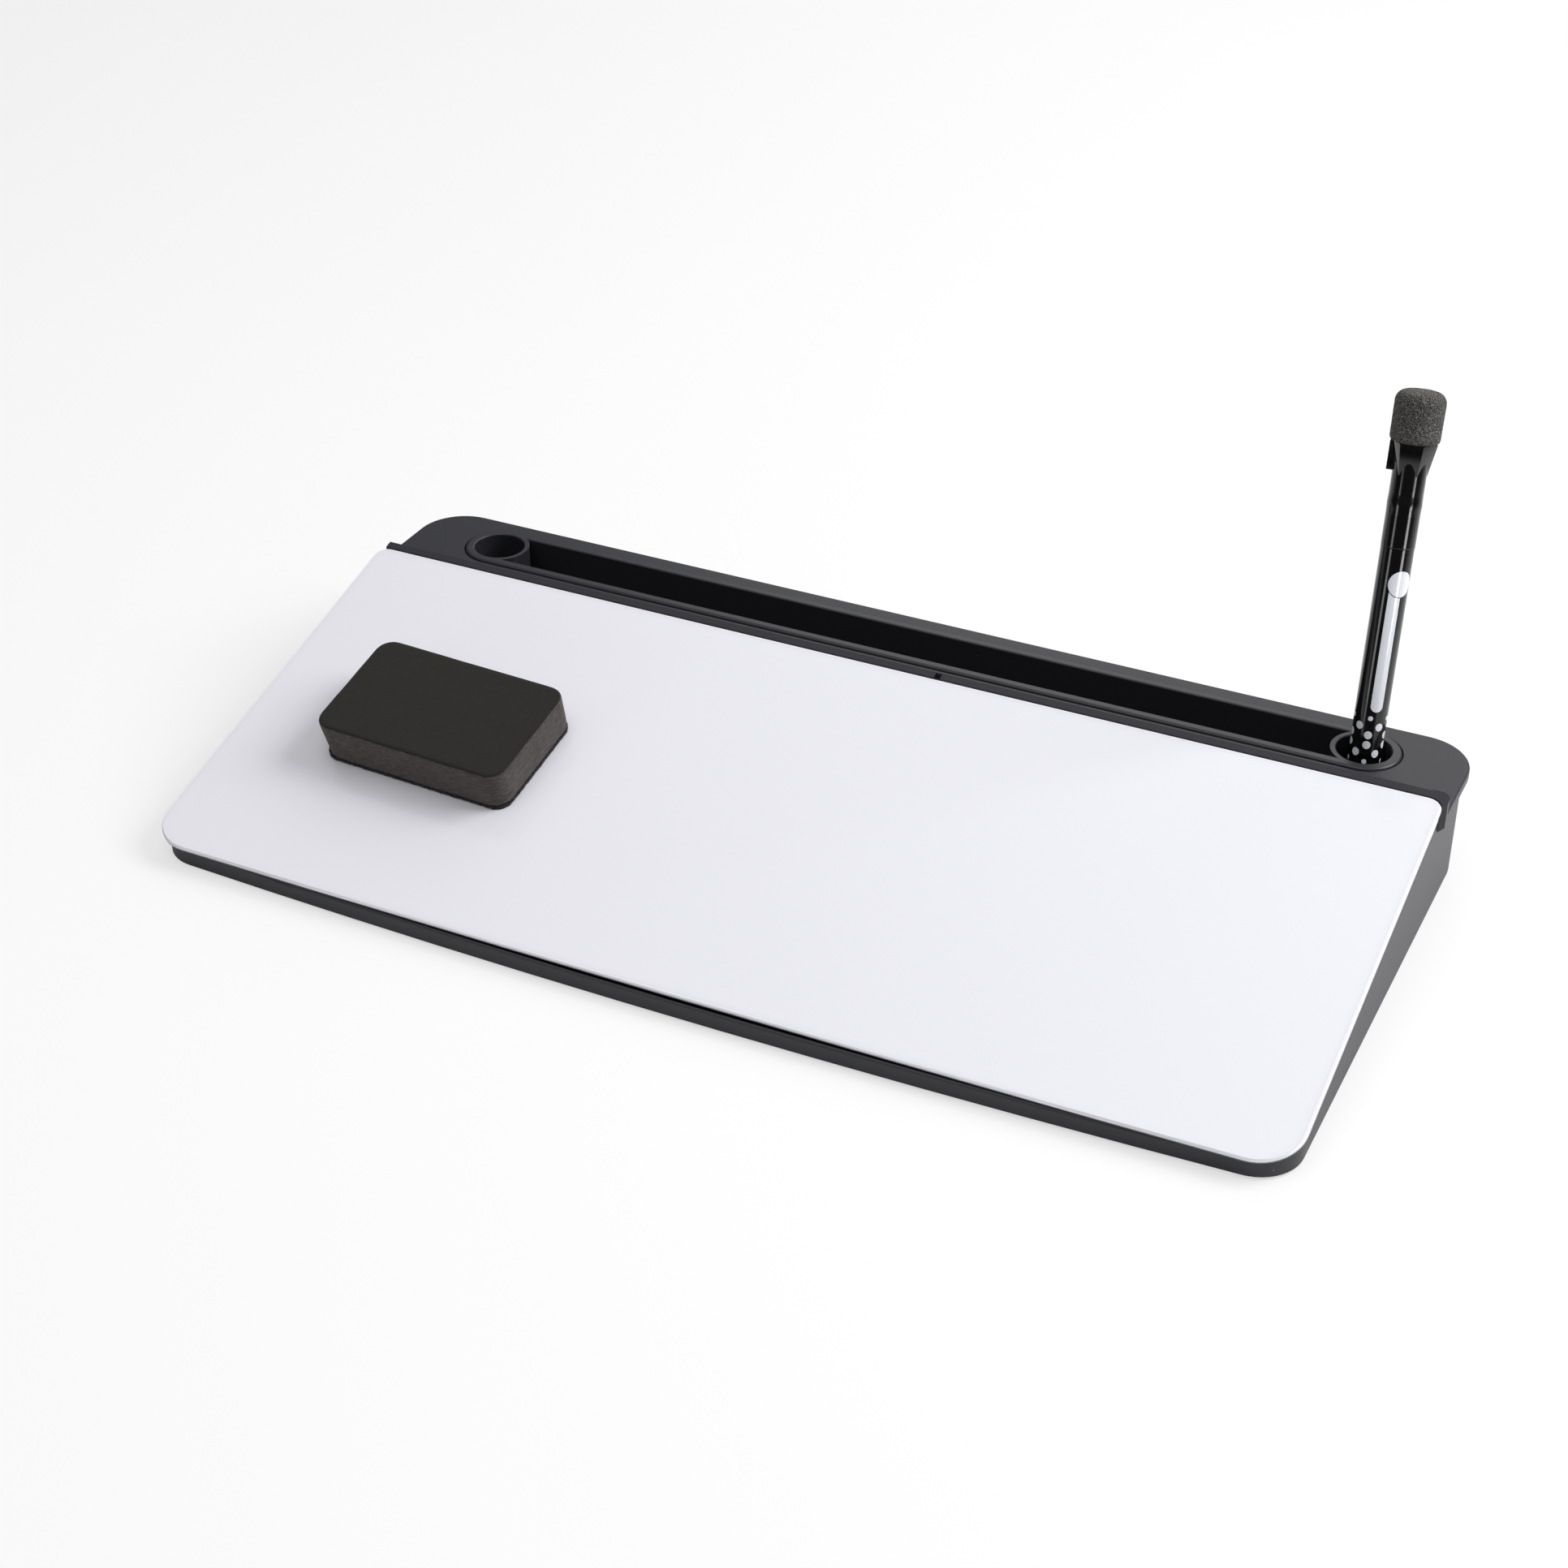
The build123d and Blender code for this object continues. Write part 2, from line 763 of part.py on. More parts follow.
def make_eraser_foam():
    """Foam block of the eraser."""
    outline = RectangleRounded(eraser_width, eraser_depth, eraser_corner_r)
    foam = extrude(outline, eraser_foam_thickness)
    foam = fillet(foam.edges().group_by(Axis.Z)[-1], eraser_edge_round)
    return eraser_place(Pos(0, 0, eraser_felt_thickness) * foam)


pieces = {
    "base_shell": make_base_shell,
    "rear_deck": make_rear_deck,
    "deck_screws": make_deck_screws,
    "rubber_feet": make_rubber_feet,
    "board_rest_pads": make_rest_pads,
    "glass_panel": make_glass,
    "white_backing": make_backing,
    "foam_tape": make_tape,
    "board_tray": make_tray,
    "holder_insert": make_holder_insert,
    "marker_barrel": make_barrel,
    "marker_end_plug": make_end_plug,
    "ink_reservoir": make_reservoir,
    "nib_holder": make_nib_holder,
    "marker_nib": make_nib,
    "marker_cap": make_cap,
    "cap_seal": make_seal,
    "cap_eraser_head": make_head,
    "eraser_felt": make_eraser_felt,
    "eraser_foam": make_eraser_foam,
}

os.makedirs("parts", exist_ok=True)
for name, maker in pieces.items():
    export_step(maker(), f"parts/{name}.step")
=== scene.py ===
import json
from math import asin, atan2, cos, pi, radians, sin

import bmesh
import bpy
from mathutils import Matrix, Vector


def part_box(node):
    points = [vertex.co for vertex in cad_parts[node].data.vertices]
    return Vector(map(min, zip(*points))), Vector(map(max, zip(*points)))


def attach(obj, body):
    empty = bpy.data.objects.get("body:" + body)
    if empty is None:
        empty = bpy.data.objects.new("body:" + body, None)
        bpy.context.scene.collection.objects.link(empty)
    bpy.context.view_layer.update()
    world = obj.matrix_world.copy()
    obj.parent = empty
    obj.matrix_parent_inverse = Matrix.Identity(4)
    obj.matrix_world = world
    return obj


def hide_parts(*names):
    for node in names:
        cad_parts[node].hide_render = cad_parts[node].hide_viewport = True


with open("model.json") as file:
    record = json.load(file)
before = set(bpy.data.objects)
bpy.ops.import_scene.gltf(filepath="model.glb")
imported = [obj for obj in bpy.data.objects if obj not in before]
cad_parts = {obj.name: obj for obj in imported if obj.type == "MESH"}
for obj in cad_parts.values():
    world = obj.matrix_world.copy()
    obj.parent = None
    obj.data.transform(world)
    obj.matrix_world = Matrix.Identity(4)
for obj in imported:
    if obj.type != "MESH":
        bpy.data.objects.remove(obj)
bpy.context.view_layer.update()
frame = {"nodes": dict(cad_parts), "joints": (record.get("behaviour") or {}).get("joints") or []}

bl_info = {
    "name": "Desktop Dry-Erase Board",
    "version": (1, 0, 0),
    "blender": (4, 5, 0),
    "location": "View3D > Sidebar > Board",
    "description": "Finishes, marker, eraser and studio for a desktop dry-erase board",
    "category": "Object",
}

MM = 0.001
LIFT = Vector(next(j for j in frame["joints"] if j["name"] == "board_lift")["axis"])
TILT = atan2(-LIFT.y, LIFT.z)
LEAN_AXIS = Vector(next(j for j in frame["joints"] if j["name"] == "cap_pull")["axis"])
LEAN_SIDE = asin(LEAN_AXIS.x)
LEAN_BACK = atan2(LEAN_AXIS.y, LEAN_AXIS.z)
CAP_TURN = radians(6.5)
SENSOR_WIDTH = 36.0


def middle(node):
    """Centre of a node's box at rest."""
    low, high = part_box(node)
    return (Vector(low) + Vector(high)) / 2


class MarkerSizes(bpy.types.PropertyGroup):
    """Sizes of the marker, along its own axis from the bottom of the barrel."""

    reservoir_middle: bpy.props.FloatProperty(
        name="Reservoir middle", description="Height of the middle of the ink reservoir",
        default=49.7 * MM, unit="LENGTH",
    )
    seam: bpy.props.FloatProperty(
        name="Cap seam", description="Height at which the cap meets the barrel",
        default=85.4 * MM, unit="LENGTH",
    )
    cap_length: bpy.props.FloatProperty(
        name="Cap length", description="Length of the plastic cap",
        default=34.5 * MM, unit="LENGTH",
    )
    cap_radius: bpy.props.FloatProperty(
        name="Cap radius", description="Outer radius of the cap", default=5.6 * MM, unit="LENGTH",
    )
    bead_height: bpy.props.FloatProperty(
        name="Bead height", description="Height of the faint swelling round the cap",
        default=99.7 * MM, unit="LENGTH",
    )
    head_length: bpy.props.FloatProperty(
        name="Head length", description="Length of the felt head", default=17.0 * MM, unit="LENGTH",
    )
    head_radius: bpy.props.FloatProperty(
        name="Head radius", description="Radius of the felt head", default=8.25 * MM, unit="LENGTH",
    )
    print_turn: bpy.props.FloatProperty(
        name="Print turn", description="Direction that the dots' first column faces",
        default=radians(-78.0), subtype="ANGLE",
    )


class EraserSizes(bpy.types.PropertyGroup):
    """Sizes of the foam eraser on the glass."""

    width: bpy.props.FloatProperty(
        name="Width", description="Length of the foam block", default=74.0 * MM, unit="LENGTH",
    )
    depth: bpy.props.FloatProperty(
        name="Depth", description="Short side of the foam block", default=47.0 * MM, unit="LENGTH",
    )
    foam: bpy.props.FloatProperty(
        name="Foam thickness", description="Thickness of the foam",
        default=13.8 * MM, unit="LENGTH",
    )
    felt: bpy.props.FloatProperty(
        name="Felt thickness", description="Thickness of the felt", default=1.8 * MM, unit="LENGTH",
    )
    corner: bpy.props.FloatProperty(
        name="Corner radius", description="Radius of the upright corners",
        default=6.3 * MM, unit="LENGTH",
    )
    turn: bpy.props.FloatProperty(
        name="Turn", description="How far the eraser lies out of square",
        default=radians(-2.5), subtype="ANGLE",
    )


class Finishes(bpy.types.PropertyGroup):
    """Colours of the board's pieces."""

    plastic: bpy.props.FloatVectorProperty(
        name="Plastic", description="Satin charcoal moulding",
        default=(0.0205, 0.0211, 0.0262), size=3, subtype="COLOR",
    )
    board_white: bpy.props.FloatVectorProperty(
        name="Board white", description="White seen through the glass",
        default=(0.835, 0.830, 0.885), size=3, subtype="COLOR",
    )
    foam: bpy.props.FloatVectorProperty(
        name="Foam", description="Warm grey of the eraser foam",
        default=(0.0115, 0.0104, 0.0078), size=3, subtype="COLOR",
    )
    marker_black: bpy.props.FloatVectorProperty(
        name="Marker black", description="Glossy barrel and cap",
        default=(0.0025, 0.0025, 0.0025), size=3, subtype="COLOR",
    )
    print_white: bpy.props.FloatVectorProperty(
        name="Print white", description="Dots and blank label on the barrel",
        default=(0.80, 0.82, 0.87), size=3, subtype="COLOR",
    )


class StudioSettings(bpy.types.PropertyGroup):
    """Camera and lamps."""

    azimuth: bpy.props.FloatProperty(
        name="Azimuth", description="Camera's side angle", default=radians(25.282), subtype="ANGLE",
    )
    elevation: bpy.props.FloatProperty(
        name="Elevation", description="Camera's height angle",
        default=radians(32.413), subtype="ANGLE",
    )
    roll: bpy.props.FloatProperty(
        name="Roll", description="Camera's roll", default=radians(0.312), subtype="ANGLE",
    )
    stand: bpy.props.FloatVectorProperty(
        name="Camera place", description="Where the camera stands",
        default=(0.33759, -0.74460, 0.54154), size=3, subtype="TRANSLATION",
    )
    lens: bpy.props.FloatProperty(
        name="Lens", description="Focal length", default=65.95, unit="CAMERA",
    )
    key_power: bpy.props.FloatProperty(
        name="Key power", description="Soft lamp to the right", default=20.0, unit="POWER",
    )
    top_power: bpy.props.FloatProperty(
        name="Top power", description="Soft lamp overhead", default=10.0, unit="POWER",
    )
    back_power: bpy.props.FloatProperty(
        name="Back power", description="Wide lamp behind, mirrored in the deck",
        default=5.2, unit="POWER",
    )
    strip_power: bpy.props.FloatProperty(
        name="Strip power", description="Each low lamp in front, before its share",
        default=1.1, unit="POWER",
    )
    ambient: bpy.props.FloatProperty(
        name="Ambient", description="Strength of the room's even light",
        default=0.38, subtype="FACTOR",
    )


def settings(name):
    """One group of the scene's settings."""
    return getattr(bpy.context.scene, name)


# Modelling helpers

def clear_selection():
    """Leave edit mode with nothing selected."""
    if bpy.context.object and bpy.context.object.mode != "OBJECT":
        bpy.ops.object.mode_set(mode="OBJECT")
    bpy.ops.object.select_all(action="DESELECT")


def only(piece):
    """Make one piece the selected and active object."""
    clear_selection()
    piece.select_set(True)
    bpy.context.view_layer.objects.active = piece


def apply_modifiers(piece):
    """Apply every modifier of a piece, in order."""
    only(piece)
    for modifier in list(piece.modifiers):
        bpy.ops.object.modifier_apply(modifier=modifier.name)


def place_mesh(piece, matrix):
    """Put a piece's place into its mesh, so that its object sits at the origin."""
    only(piece)
    bpy.ops.object.transform_apply(location=True, rotation=True, scale=True)
    piece.data.transform(matrix)
    piece.data.update()


def ring_stack(name, rings, sides=96, filled=True):
    """A turned shape about Z: a circle extruded ring by ring through (height, radius) pairs."""
    extrude = bpy.ops.mesh.extrude_region_move if filled else bpy.ops.mesh.extrude_edges_move
    clear_selection()
    height, radius = rings[0]
    bpy.ops.mesh.primitive_circle_add(
        vertices=sides, radius=radius, fill_type="NGON" if filled else "NOTHING",
        location=(0, 0, height),
    )
    piece = bpy.context.object
    piece.name = name
    bpy.ops.object.transform_apply(location=True, rotation=False, scale=False)
    bpy.ops.object.mode_set(mode="EDIT")
    bpy.ops.mesh.select_mode(type="EDGE")
    bpy.ops.mesh.select_all(action="SELECT")
    for next_height, next_radius in rings[1:]:
        extrude(TRANSFORM_OT_translate={"value": (0, 0, next_height - height)})
        share = next_radius / radius
        bpy.ops.transform.resize(value=(share, share, 1), center_override=(0, 0, next_height))
        height, radius = next_height, next_radius
    bpy.ops.object.mode_set(mode="OBJECT")
    return piece


def quarter_round(start, end, steps):
    """Rings of a quarter circle from one (height, radius) pair to another, bulging outward."""
    height_0, radius_0 = start
    height_1, radius_1 = end
    rings = []
    for index in range(1, steps + 1):
        angle = pi / 2 * index / steps
        if radius_1 < radius_0:
            share_height, share_radius = sin(angle), 1 - cos(angle)
        else:
            share_height, share_radius = 1 - cos(angle), sin(angle)
        rings.append(
            (
                height_0 + (height_1 - height_0) * share_height,
                radius_0 + (radius_1 - radius_0) * share_radius,
            )
        )
    return rings


def select_edges(piece, test):
    """Select the edges of a piece that pass a test, in edit mode."""
    bpy.ops.object.mode_set(mode="EDIT")
    bpy.ops.mesh.select_mode(type="EDGE")
    mesh = bmesh.from_edit_mesh(piece.data)
    for face in mesh.faces:
        face.select_set(False)
    for edge in mesh.edges:
        edge.select_set(False)
    for edge in mesh.edges:
        if test(edge):
            edge.select_set(True)
    bmesh.update_edit_mesh(piece.data)


def rounded_slab(name, width, depth, low, high, corner):
    """A block with four rounded upright corners, bottom at low and top at high."""
    clear_selection()
    bpy.ops.mesh.primitive_cube_add(size=1, location=(0, 0, (low + high) / 2))
    piece = bpy.context.object
    piece.name = name
    piece.scale = (width, depth, high - low)
    bpy.ops.object.transform_apply(location=True, rotation=True, scale=True)
    select_edges(piece, lambda e: abs(e.verts[0].co.z - e.verts[1].co.z) > corner / 4)
    bpy.ops.mesh.bevel(offset=corner, segments=14, affect="EDGES", clamp_overlap=True)
    bpy.ops.object.mode_set(mode="OBJECT")
    return piece


def soften_rim(piece, height, offset, segments):
    """Round the rim of a slab's top or bottom face."""
    def on_rim(edge):
        ends = all(abs(v.co.z - height) < 1e-6 for v in edge.verts)
        return ends and not edge.is_boundary

    select_edges(piece, on_rim)
    bpy.ops.mesh.bevel(offset=offset, segments=segments, affect="EDGES", clamp_overlap=True)
    bpy.ops.object.mode_set(mode="OBJECT")


def ripple(piece, name, strength, size):
    """Push a surface in and out by a soft cloud pattern."""
    texture = bpy.data.textures.new(name, type="CLOUDS")
    texture.noise_scale = size
    texture.noise_depth = 2
    modifier = piece.modifiers.new(name, "DISPLACE")
    modifier.texture = texture
    modifier.strength = strength
    modifier.mid_level = 0.5
    modifier.texture_coords = "LOCAL"


def finish_piece(piece, material, body, stands_for):
    """Dress a new piece, put it in the place of CAD nodes and tie it to its body."""
    piece.data.materials.clear()
    piece.data.materials.append(material)
    only(piece)
    bpy.ops.object.shade_smooth_by_angle(angle=radians(35))
    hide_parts(*stands_for)
    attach(piece, body)


def marker_matrix():
    """From the marker's own axis to where it stands in the cup."""
    sizes = settings("marker_sizes")
    foot = middle("ink_reservoir") - LEAN_AXIS.normalized() * sizes.reservoir_middle
    turn = Matrix.Rotation(-LEAN_BACK, 4, "X") @ Matrix.Rotation(LEAN_SIDE, 4, "Y")
    return Matrix.Translation(foot) @ turn


def eraser_matrix():
    """From the eraser's own middle to where it lies on the glass."""
    sizes = settings("eraser_sizes")
    low = middle("eraser_felt") - LIFT.normalized() * (sizes.felt / 2)
    turn = Matrix.Rotation(TILT, 4, "X") @ Matrix.Rotation(sizes.turn, 4, "Z")
    return Matrix.Translation(low) @ turn


# Material helpers

class Nodes:
    """A node tree with a short way to add and join nodes."""

    def __init__(self, tree):
        self.tree = tree

    def node(self, kind, inputs=None, **values):
        """Add a node; inputs may be values or other nodes' sockets."""
        made = self.tree.nodes.new(kind)
        for key, value in values.items():
            setattr(made, key, value)
        for key, value in (inputs or {}).items():
            self.feed(made.inputs[key], value)
        return made

    def feed(self, socket, value):
        """Give a socket a value, or join it to another node's socket."""
        if isinstance(value, bpy.types.NodeSocket):
            self.tree.links.new(value, socket)
        else:
            socket.default_value = value

    def math(self, operation, *values, clamp=False):
        """A Math node's result."""
        made = self.tree.nodes.new("ShaderNodeMath")
        made.operation = operation
        made.use_clamp = clamp
        for socket, value in zip(made.inputs, values):
            self.feed(socket, value)
        return made.outputs[0]

    def ramp(self, factor, stops):
        """A colour ramp's result."""
        made = self.tree.nodes.new("ShaderNodeValToRGB")
        ramp = made.color_ramp
        ramp.elements[0].position, ramp.elements[0].color = stops[0]
        ramp.elements[-1].position, ramp.elements[-1].color = stops[-1]
        for position, colour in stops[1:-1]:
            ramp.elements.new(position).color = colour
        self.feed(made.inputs[0], factor)
        return made.outputs[0]

    def blend(self, factor, low, high):
        """A colour mix's result."""
        made = self.node("ShaderNodeMix", data_type="RGBA")
        for key, value in (("Factor", factor), ("A", low), ("B", high)):
            self.feed(made.inputs[key], value)
        return made.outputs["Result"]

    def split(self, vector):
        """X, Y and Z of a vector."""
        return tuple(self.node("ShaderNodeSeparateXYZ", {0: vector}).outputs)

    def group(self, tree, inputs):
        """Place a shared node group."""
        made = self.tree.nodes.new("ShaderNodeGroup")
        made.node_tree = tree
        for key, value in inputs.items():
            self.feed(made.inputs[key], value)
        return made


class Shader(Nodes):
    """A material and its Principled shader."""

    def __init__(self, name):
        self.material = bpy.data.materials.new(name)
        self.material.use_nodes = True
        super().__init__(self.material.node_tree)
        self.surface = self.tree.nodes["Principled BSDF"]

    def point(self, matrix=None):
        """Object coordinates, turned into a piece's own place when a matrix is given."""
        coordinates = self.node("ShaderNodeTexCoord").outputs["Object"]
        if matrix is None:
            return coordinates
        mapping = self.node(
            "ShaderNodeMapping",
            {
                "Vector": coordinates,
                "Location": matrix.to_translation(),
                "Rotation": matrix.to_euler(),
            },
            vector_type="TEXTURE",
        )
        return mapping.outputs[0]

    def bump(self, height, strength, distance):
        """Join a height to the shader's normal."""
        made = self.node(
            "ShaderNodeBump", {"Strength": strength, "Distance": distance, "Height": height}
        )
        self.tree.links.new(made.outputs[0], self.surface.inputs["Normal"])

    def set(self, **values):
        """Set or join the shader's own sockets, written with underscores."""
        for key, value in values.items():
            self.feed(self.surface.inputs[key.replace("_", " ")], value)


class SharedGroup(Nodes):
    """A node group with a Point input, named number inputs and named number outputs."""

    def __init__(self, name, inputs, outputs):
        super().__init__(bpy.data.node_groups.new(name, "ShaderNodeTree"))
        sockets = self.tree.interface
        sockets.new_socket("Point", in_out="INPUT", socket_type="NodeSocketVector")
        for key, value in inputs.items():
            socket = sockets.new_socket(key, in_out="INPUT", socket_type="NodeSocketFloat")
            socket.default_value = value
        for key in outputs:
            sockets.new_socket(key, in_out="OUTPUT", socket_type="NodeSocketFloat")
        self.given = self.node("NodeGroupInput").outputs
        self.results = self.node("NodeGroupOutput").inputs


def rgba(colour, factor=1.0):
    """A colour property as four numbers, made lighter or darker."""
    return (colour[0] * factor, colour[1] * factor, colour[2] * factor, 1.0)


def grain_group():
    """Moulded plastic grain: fine sparks over soft, wide mottling."""
    group = SharedGroup("Moulded grain", {"Grain Scale": 1800.0}, ("Tone", "Height"))
    point = group.given["Point"]
    fine = group.node(
        "ShaderNodeTexNoise",
        {"Vector": point, "Scale": group.given["Grain Scale"], "Detail": 3.0},
    ).outputs["Fac"]
    wide = group.node(
        "ShaderNodeTexNoise", {"Vector": point, "Scale": 14.0, "Detail": 2.0}
    ).outputs["Fac"]
    mixed = group.node("ShaderNodeMix", {"Factor": 0.45, "A": fine, "B": wide})
    group.feed(group.results["Tone"], mixed.outputs["Result"])
    group.feed(group.results["Height"], fine)
    return group.tree


def dust_group():
    """Sparse pale specks: a small disc in a few cells of a random grid."""
    group = SharedGroup("Dust specks", {"Speck Scale": 260.0, "Share": 0.05}, ("Specks",))
    speck_radius = 0.045
    cells = group.node(
        "ShaderNodeTexVoronoi",
        {"Vector": group.given["Point"], "Scale": group.given["Speck Scale"]},
    )
    chance = group.node("ShaderNodeSeparateColor", {0: cells.outputs["Color"]}).outputs[0]
    small = group.math("LESS_THAN", cells.outputs["Distance"], speck_radius)
    chosen = group.math("LESS_THAN", chance, group.given["Share"])
    group.feed(group.results["Specks"], group.math("MULTIPLY", small, chosen))
    return group.tree


def fibre_group():
    """Felt and foam: short fibres crossing over fine pores."""
    group = SharedGroup(
        "Fibres and pores",
        {"Fibre Scale": 900.0, "Pore Scale": 1400.0},
        ("Fibres", "Pores", "Height"),
    )
    point = group.given["Point"]
    fibres = group.node(
        "ShaderNodeTexNoise",
        {
            "Vector": point,
            "Scale": group.given["Fibre Scale"],
            "Detail": 6.0,
            "Roughness": 0.75,
            "Distortion": 1.2,
        },
    ).outputs["Fac"]
    pores = group.node(
        "ShaderNodeTexVoronoi", {"Vector": point, "Scale": group.given["Pore Scale"]}
    ).outputs["Distance"]
    group.feed(group.results["Fibres"], fibres)
    group.feed(group.results["Pores"], pores)
    group.feed(group.results["Height"], group.math("ADD", fibres, pores))
    return group.tree


def shared_group(name, make):
    """A node group, built the first time it is asked for."""
    return bpy.data.node_groups.get(name) or make()


def plastic_material(name, colour, roughness):
    """Satin moulded plastic with a fine spark texture."""
    dust_colour, roughness_spread, grain_depth = (0.30, 0.30, 0.31, 1.0), 0.05, 0.04 * MM
    shader = Shader(name)
    grain_node = shader.group(
        shared_group("Moulded grain", grain_group),
        {"Point": shader.point(), "Grain Scale": 1800.0},
    )
    tone = grain_node.outputs["Tone"]
    colours = shader.blend(tone, rgba(colour, 0.86), rgba(colour, 1.14))
    dust = shader.group(shared_group("Dust specks", dust_group), {"Point": shader.point()})
    colours = shader.blend(dust.outputs["Specks"], colours, dust_colour)
    spread = shader.node(
        "ShaderNodeMapRange",
        {
            "Value": tone,
            "To Min": roughness - roughness_spread,
            "To Max": roughness + roughness_spread,
        },
    )
    shader.set(Base_Color=colours, Roughness=spread.outputs[0], Specular_IOR_Level=0.4)
    shader.bump(grain_node.outputs["Height"], 0.35, grain_depth)
    return shader.material


def board_face_material():
    """White seen through glass: clear gloss on top, with painted refraction lines (a lighter band
    and a thin grey line) along the rims, and a painted highlight line over painted dark reflection
    on the edge faces.
    """
    finishes = settings("finishes")
    shader = Shader("Glass over white")
    low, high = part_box("glass_panel")
    width = high[0] - low[0]
    depth = (high[1] - low[1]) / cos(TILT)
    place = Matrix.Translation(middle("glass_panel")) @ Matrix.Rotation(TILT, 4, "X")
    x, along, height = shader.split(shader.point(place))
    front_radius, rear_radius = 15.0 * MM, 5.0 * MM
    painted_refraction_band, top_edge, side_depth = 6.0 * MM, -0.18 * MM, 1.6 * MM
    mottle_share, mottle_tone = 0.05, 0.8
    at_front = shader.math("LESS_THAN", along, 0.0)
    radius = shader.math("MULTIPLY_ADD", at_front, front_radius - rear_radius, rear_radius)
    over_x = shader.math("SUBTRACT", shader.math("ABSOLUTE", x), width / 2)
    over_y = shader.math("SUBTRACT", shader.math("ABSOLUTE", along), depth / 2)
    past_x = shader.math("ADD", over_x, radius)
    past_y = shader.math("ADD", over_y, radius)
    corner_x = shader.math("MAXIMUM", past_x, 0.0)
    corner_y = shader.math("MAXIMUM", past_y, 0.0)
    reach = shader.math(
        "SQRT",
        shader.math(
            "ADD", shader.math("POWER", corner_x, 2.0), shader.math("POWER", corner_y, 2.0)
        ),
    )
    inner = shader.math("MINIMUM", shader.math("MAXIMUM", past_x, past_y), 0.0)
    edge = shader.math("SUBTRACT", shader.math("SUBTRACT", radius, reach), inner)
    share = shader.math("DIVIDE", edge, painted_refraction_band, clamp=True)
    white = finishes.board_white
    # Painted refraction lines: the band next to the rim is painted lighter and a thin line just
    # inside it darker. They stand in for the glass edge seen through the glass's thickness.
    rim = shader.ramp(
        share,
        [
            (0.0, rgba(white, 1.03)),
            (0.15, rgba(white, 1.04)),
            (0.20, rgba(white, 0.90)),
            (0.27, rgba(white, 0.975)),
            (0.60, rgba(white, 1.0)),
        ],
    )
    mottle = shader.node(
        "ShaderNodeTexNoise", {"Vector": shader.point(), "Scale": 6.0, "Detail": 2.0}
    )
    face = shader.blend(
        shader.math("MULTIPLY", mottle.outputs["Fac"], mottle_share),
        rim,
        rgba(white, mottle_tone),
    )
    # Painted edge faces: the light line at the top of each edge face is a painted highlight of the
    # polished arris. The dark blue-black below it is painted reflection of the dark surroundings
    # seen in the glass's edge.
    painted_edge_share = shader.math("LESS_THAN", height, top_edge)
    side = shader.ramp(
        shader.math("DIVIDE", shader.math("MULTIPLY", height, -1.0), side_depth, clamp=True),
        [
            (0.0, (0.20, 0.22, 0.22, 1.0)),
            (0.5, (0.035, 0.042, 0.05, 1.0)),
            (1.0, (0.02, 0.02, 0.03, 1.0)),
        ],
    )
    shader.set(
        Base_Color=shader.blend(painted_edge_share, face, side),
        Roughness=0.12,
        Specular_IOR_Level=0.4,
        Coat_Weight=1.0,
        Coat_Roughness=0.03,
    )
    return shader.material


def gloss_black_material(name, with_print):
    """Glossy black marker plastic, with its dots and blank label where asked."""
    finishes = settings("finishes")
    shader = Shader(name)
    black = finishes.marker_black
    haze = shader.node(
        "ShaderNodeTexNoise", {"Vector": shader.point(), "Scale": 180.0, "Detail": 3.0}
    ).outputs["Fac"]
    base = shader.blend(haze, rgba(black, 0.8), rgba(black, 1.6))
    if with_print:
        base = shader.blend(marker_print(shader), base, rgba(finishes.print_white))
    rough = shader.node("ShaderNodeMapRange", {"Value": haze, "To Min": 0.10, "To Max": 0.16})
    shader.set(
        Base_Color=base,
        Roughness=rough.outputs[0],
        Specular_IOR_Level=0.45,
        Coat_Weight=0.15,
        Coat_Roughness=0.05,
    )
    shader.bump(haze, strength=0.05, distance=0.05 * MM)
    return shader.material


def disc_mask(shader, across, up, radius):
    """1 inside a disc about the origin of the (across, up) plane."""
    square = shader.math(
        "ADD", shader.math("POWER", across, 2.0), shader.math("POWER", up, 2.0)
    )
    return shader.math("LESS_THAN", square, radius * radius)


def marker_print(shader):
    """Mask of the polka dots near the barrel's tail and of the blank label above them."""
    sizes = settings("marker_sizes")
    barrel_radius = 5.5 * MM
    x, y, z = shader.split(shader.point(marker_matrix()))
    angle = shader.math("ARCTAN2", y, x)
    turned = shader.math("SUBTRACT", angle, sizes.print_turn)
    columns = 10
    column = shader.math("DIVIDE", turned, 2 * pi / columns)
    nearest = shader.math("ROUND", column)
    across = shader.math(
        "MULTIPLY", shader.math("SUBTRACT", column, nearest), 2 * pi / columns * barrel_radius
    )
    odd = shader.math("ABSOLUTE", shader.math("MODULO", nearest, 2.0))
    even = shader.math("SUBTRACT", 1.0, odd)
    band_middle = 20.8 * MM
    up = shader.math("ABSOLUTE", shader.math("SUBTRACT", z, band_middle))
    large, small = 1.35 * MM, 0.82 * MM
    near_row, side_row, far_row = 1.70 * MM, 4.57 * MM, 7.43 * MM
    near_pair = disc_mask(shader, across, shader.math("SUBTRACT", up, near_row), large)
    far_pair = disc_mask(shader, across, shader.math("SUBTRACT", up, far_row), small)
    side_pair = disc_mask(shader, across, shader.math("SUBTRACT", up, side_row), large)
    dots = shader.math(
        "ADD",
        shader.math("MULTIPLY", even, shader.math("ADD", near_pair, far_pair)),
        shader.math("MULTIPLY", odd, side_pair),
        clamp=True,
    )
    label = blank_label(shader, turned, z, barrel_radius)
    return shader.math("MAXIMUM", dots, label)


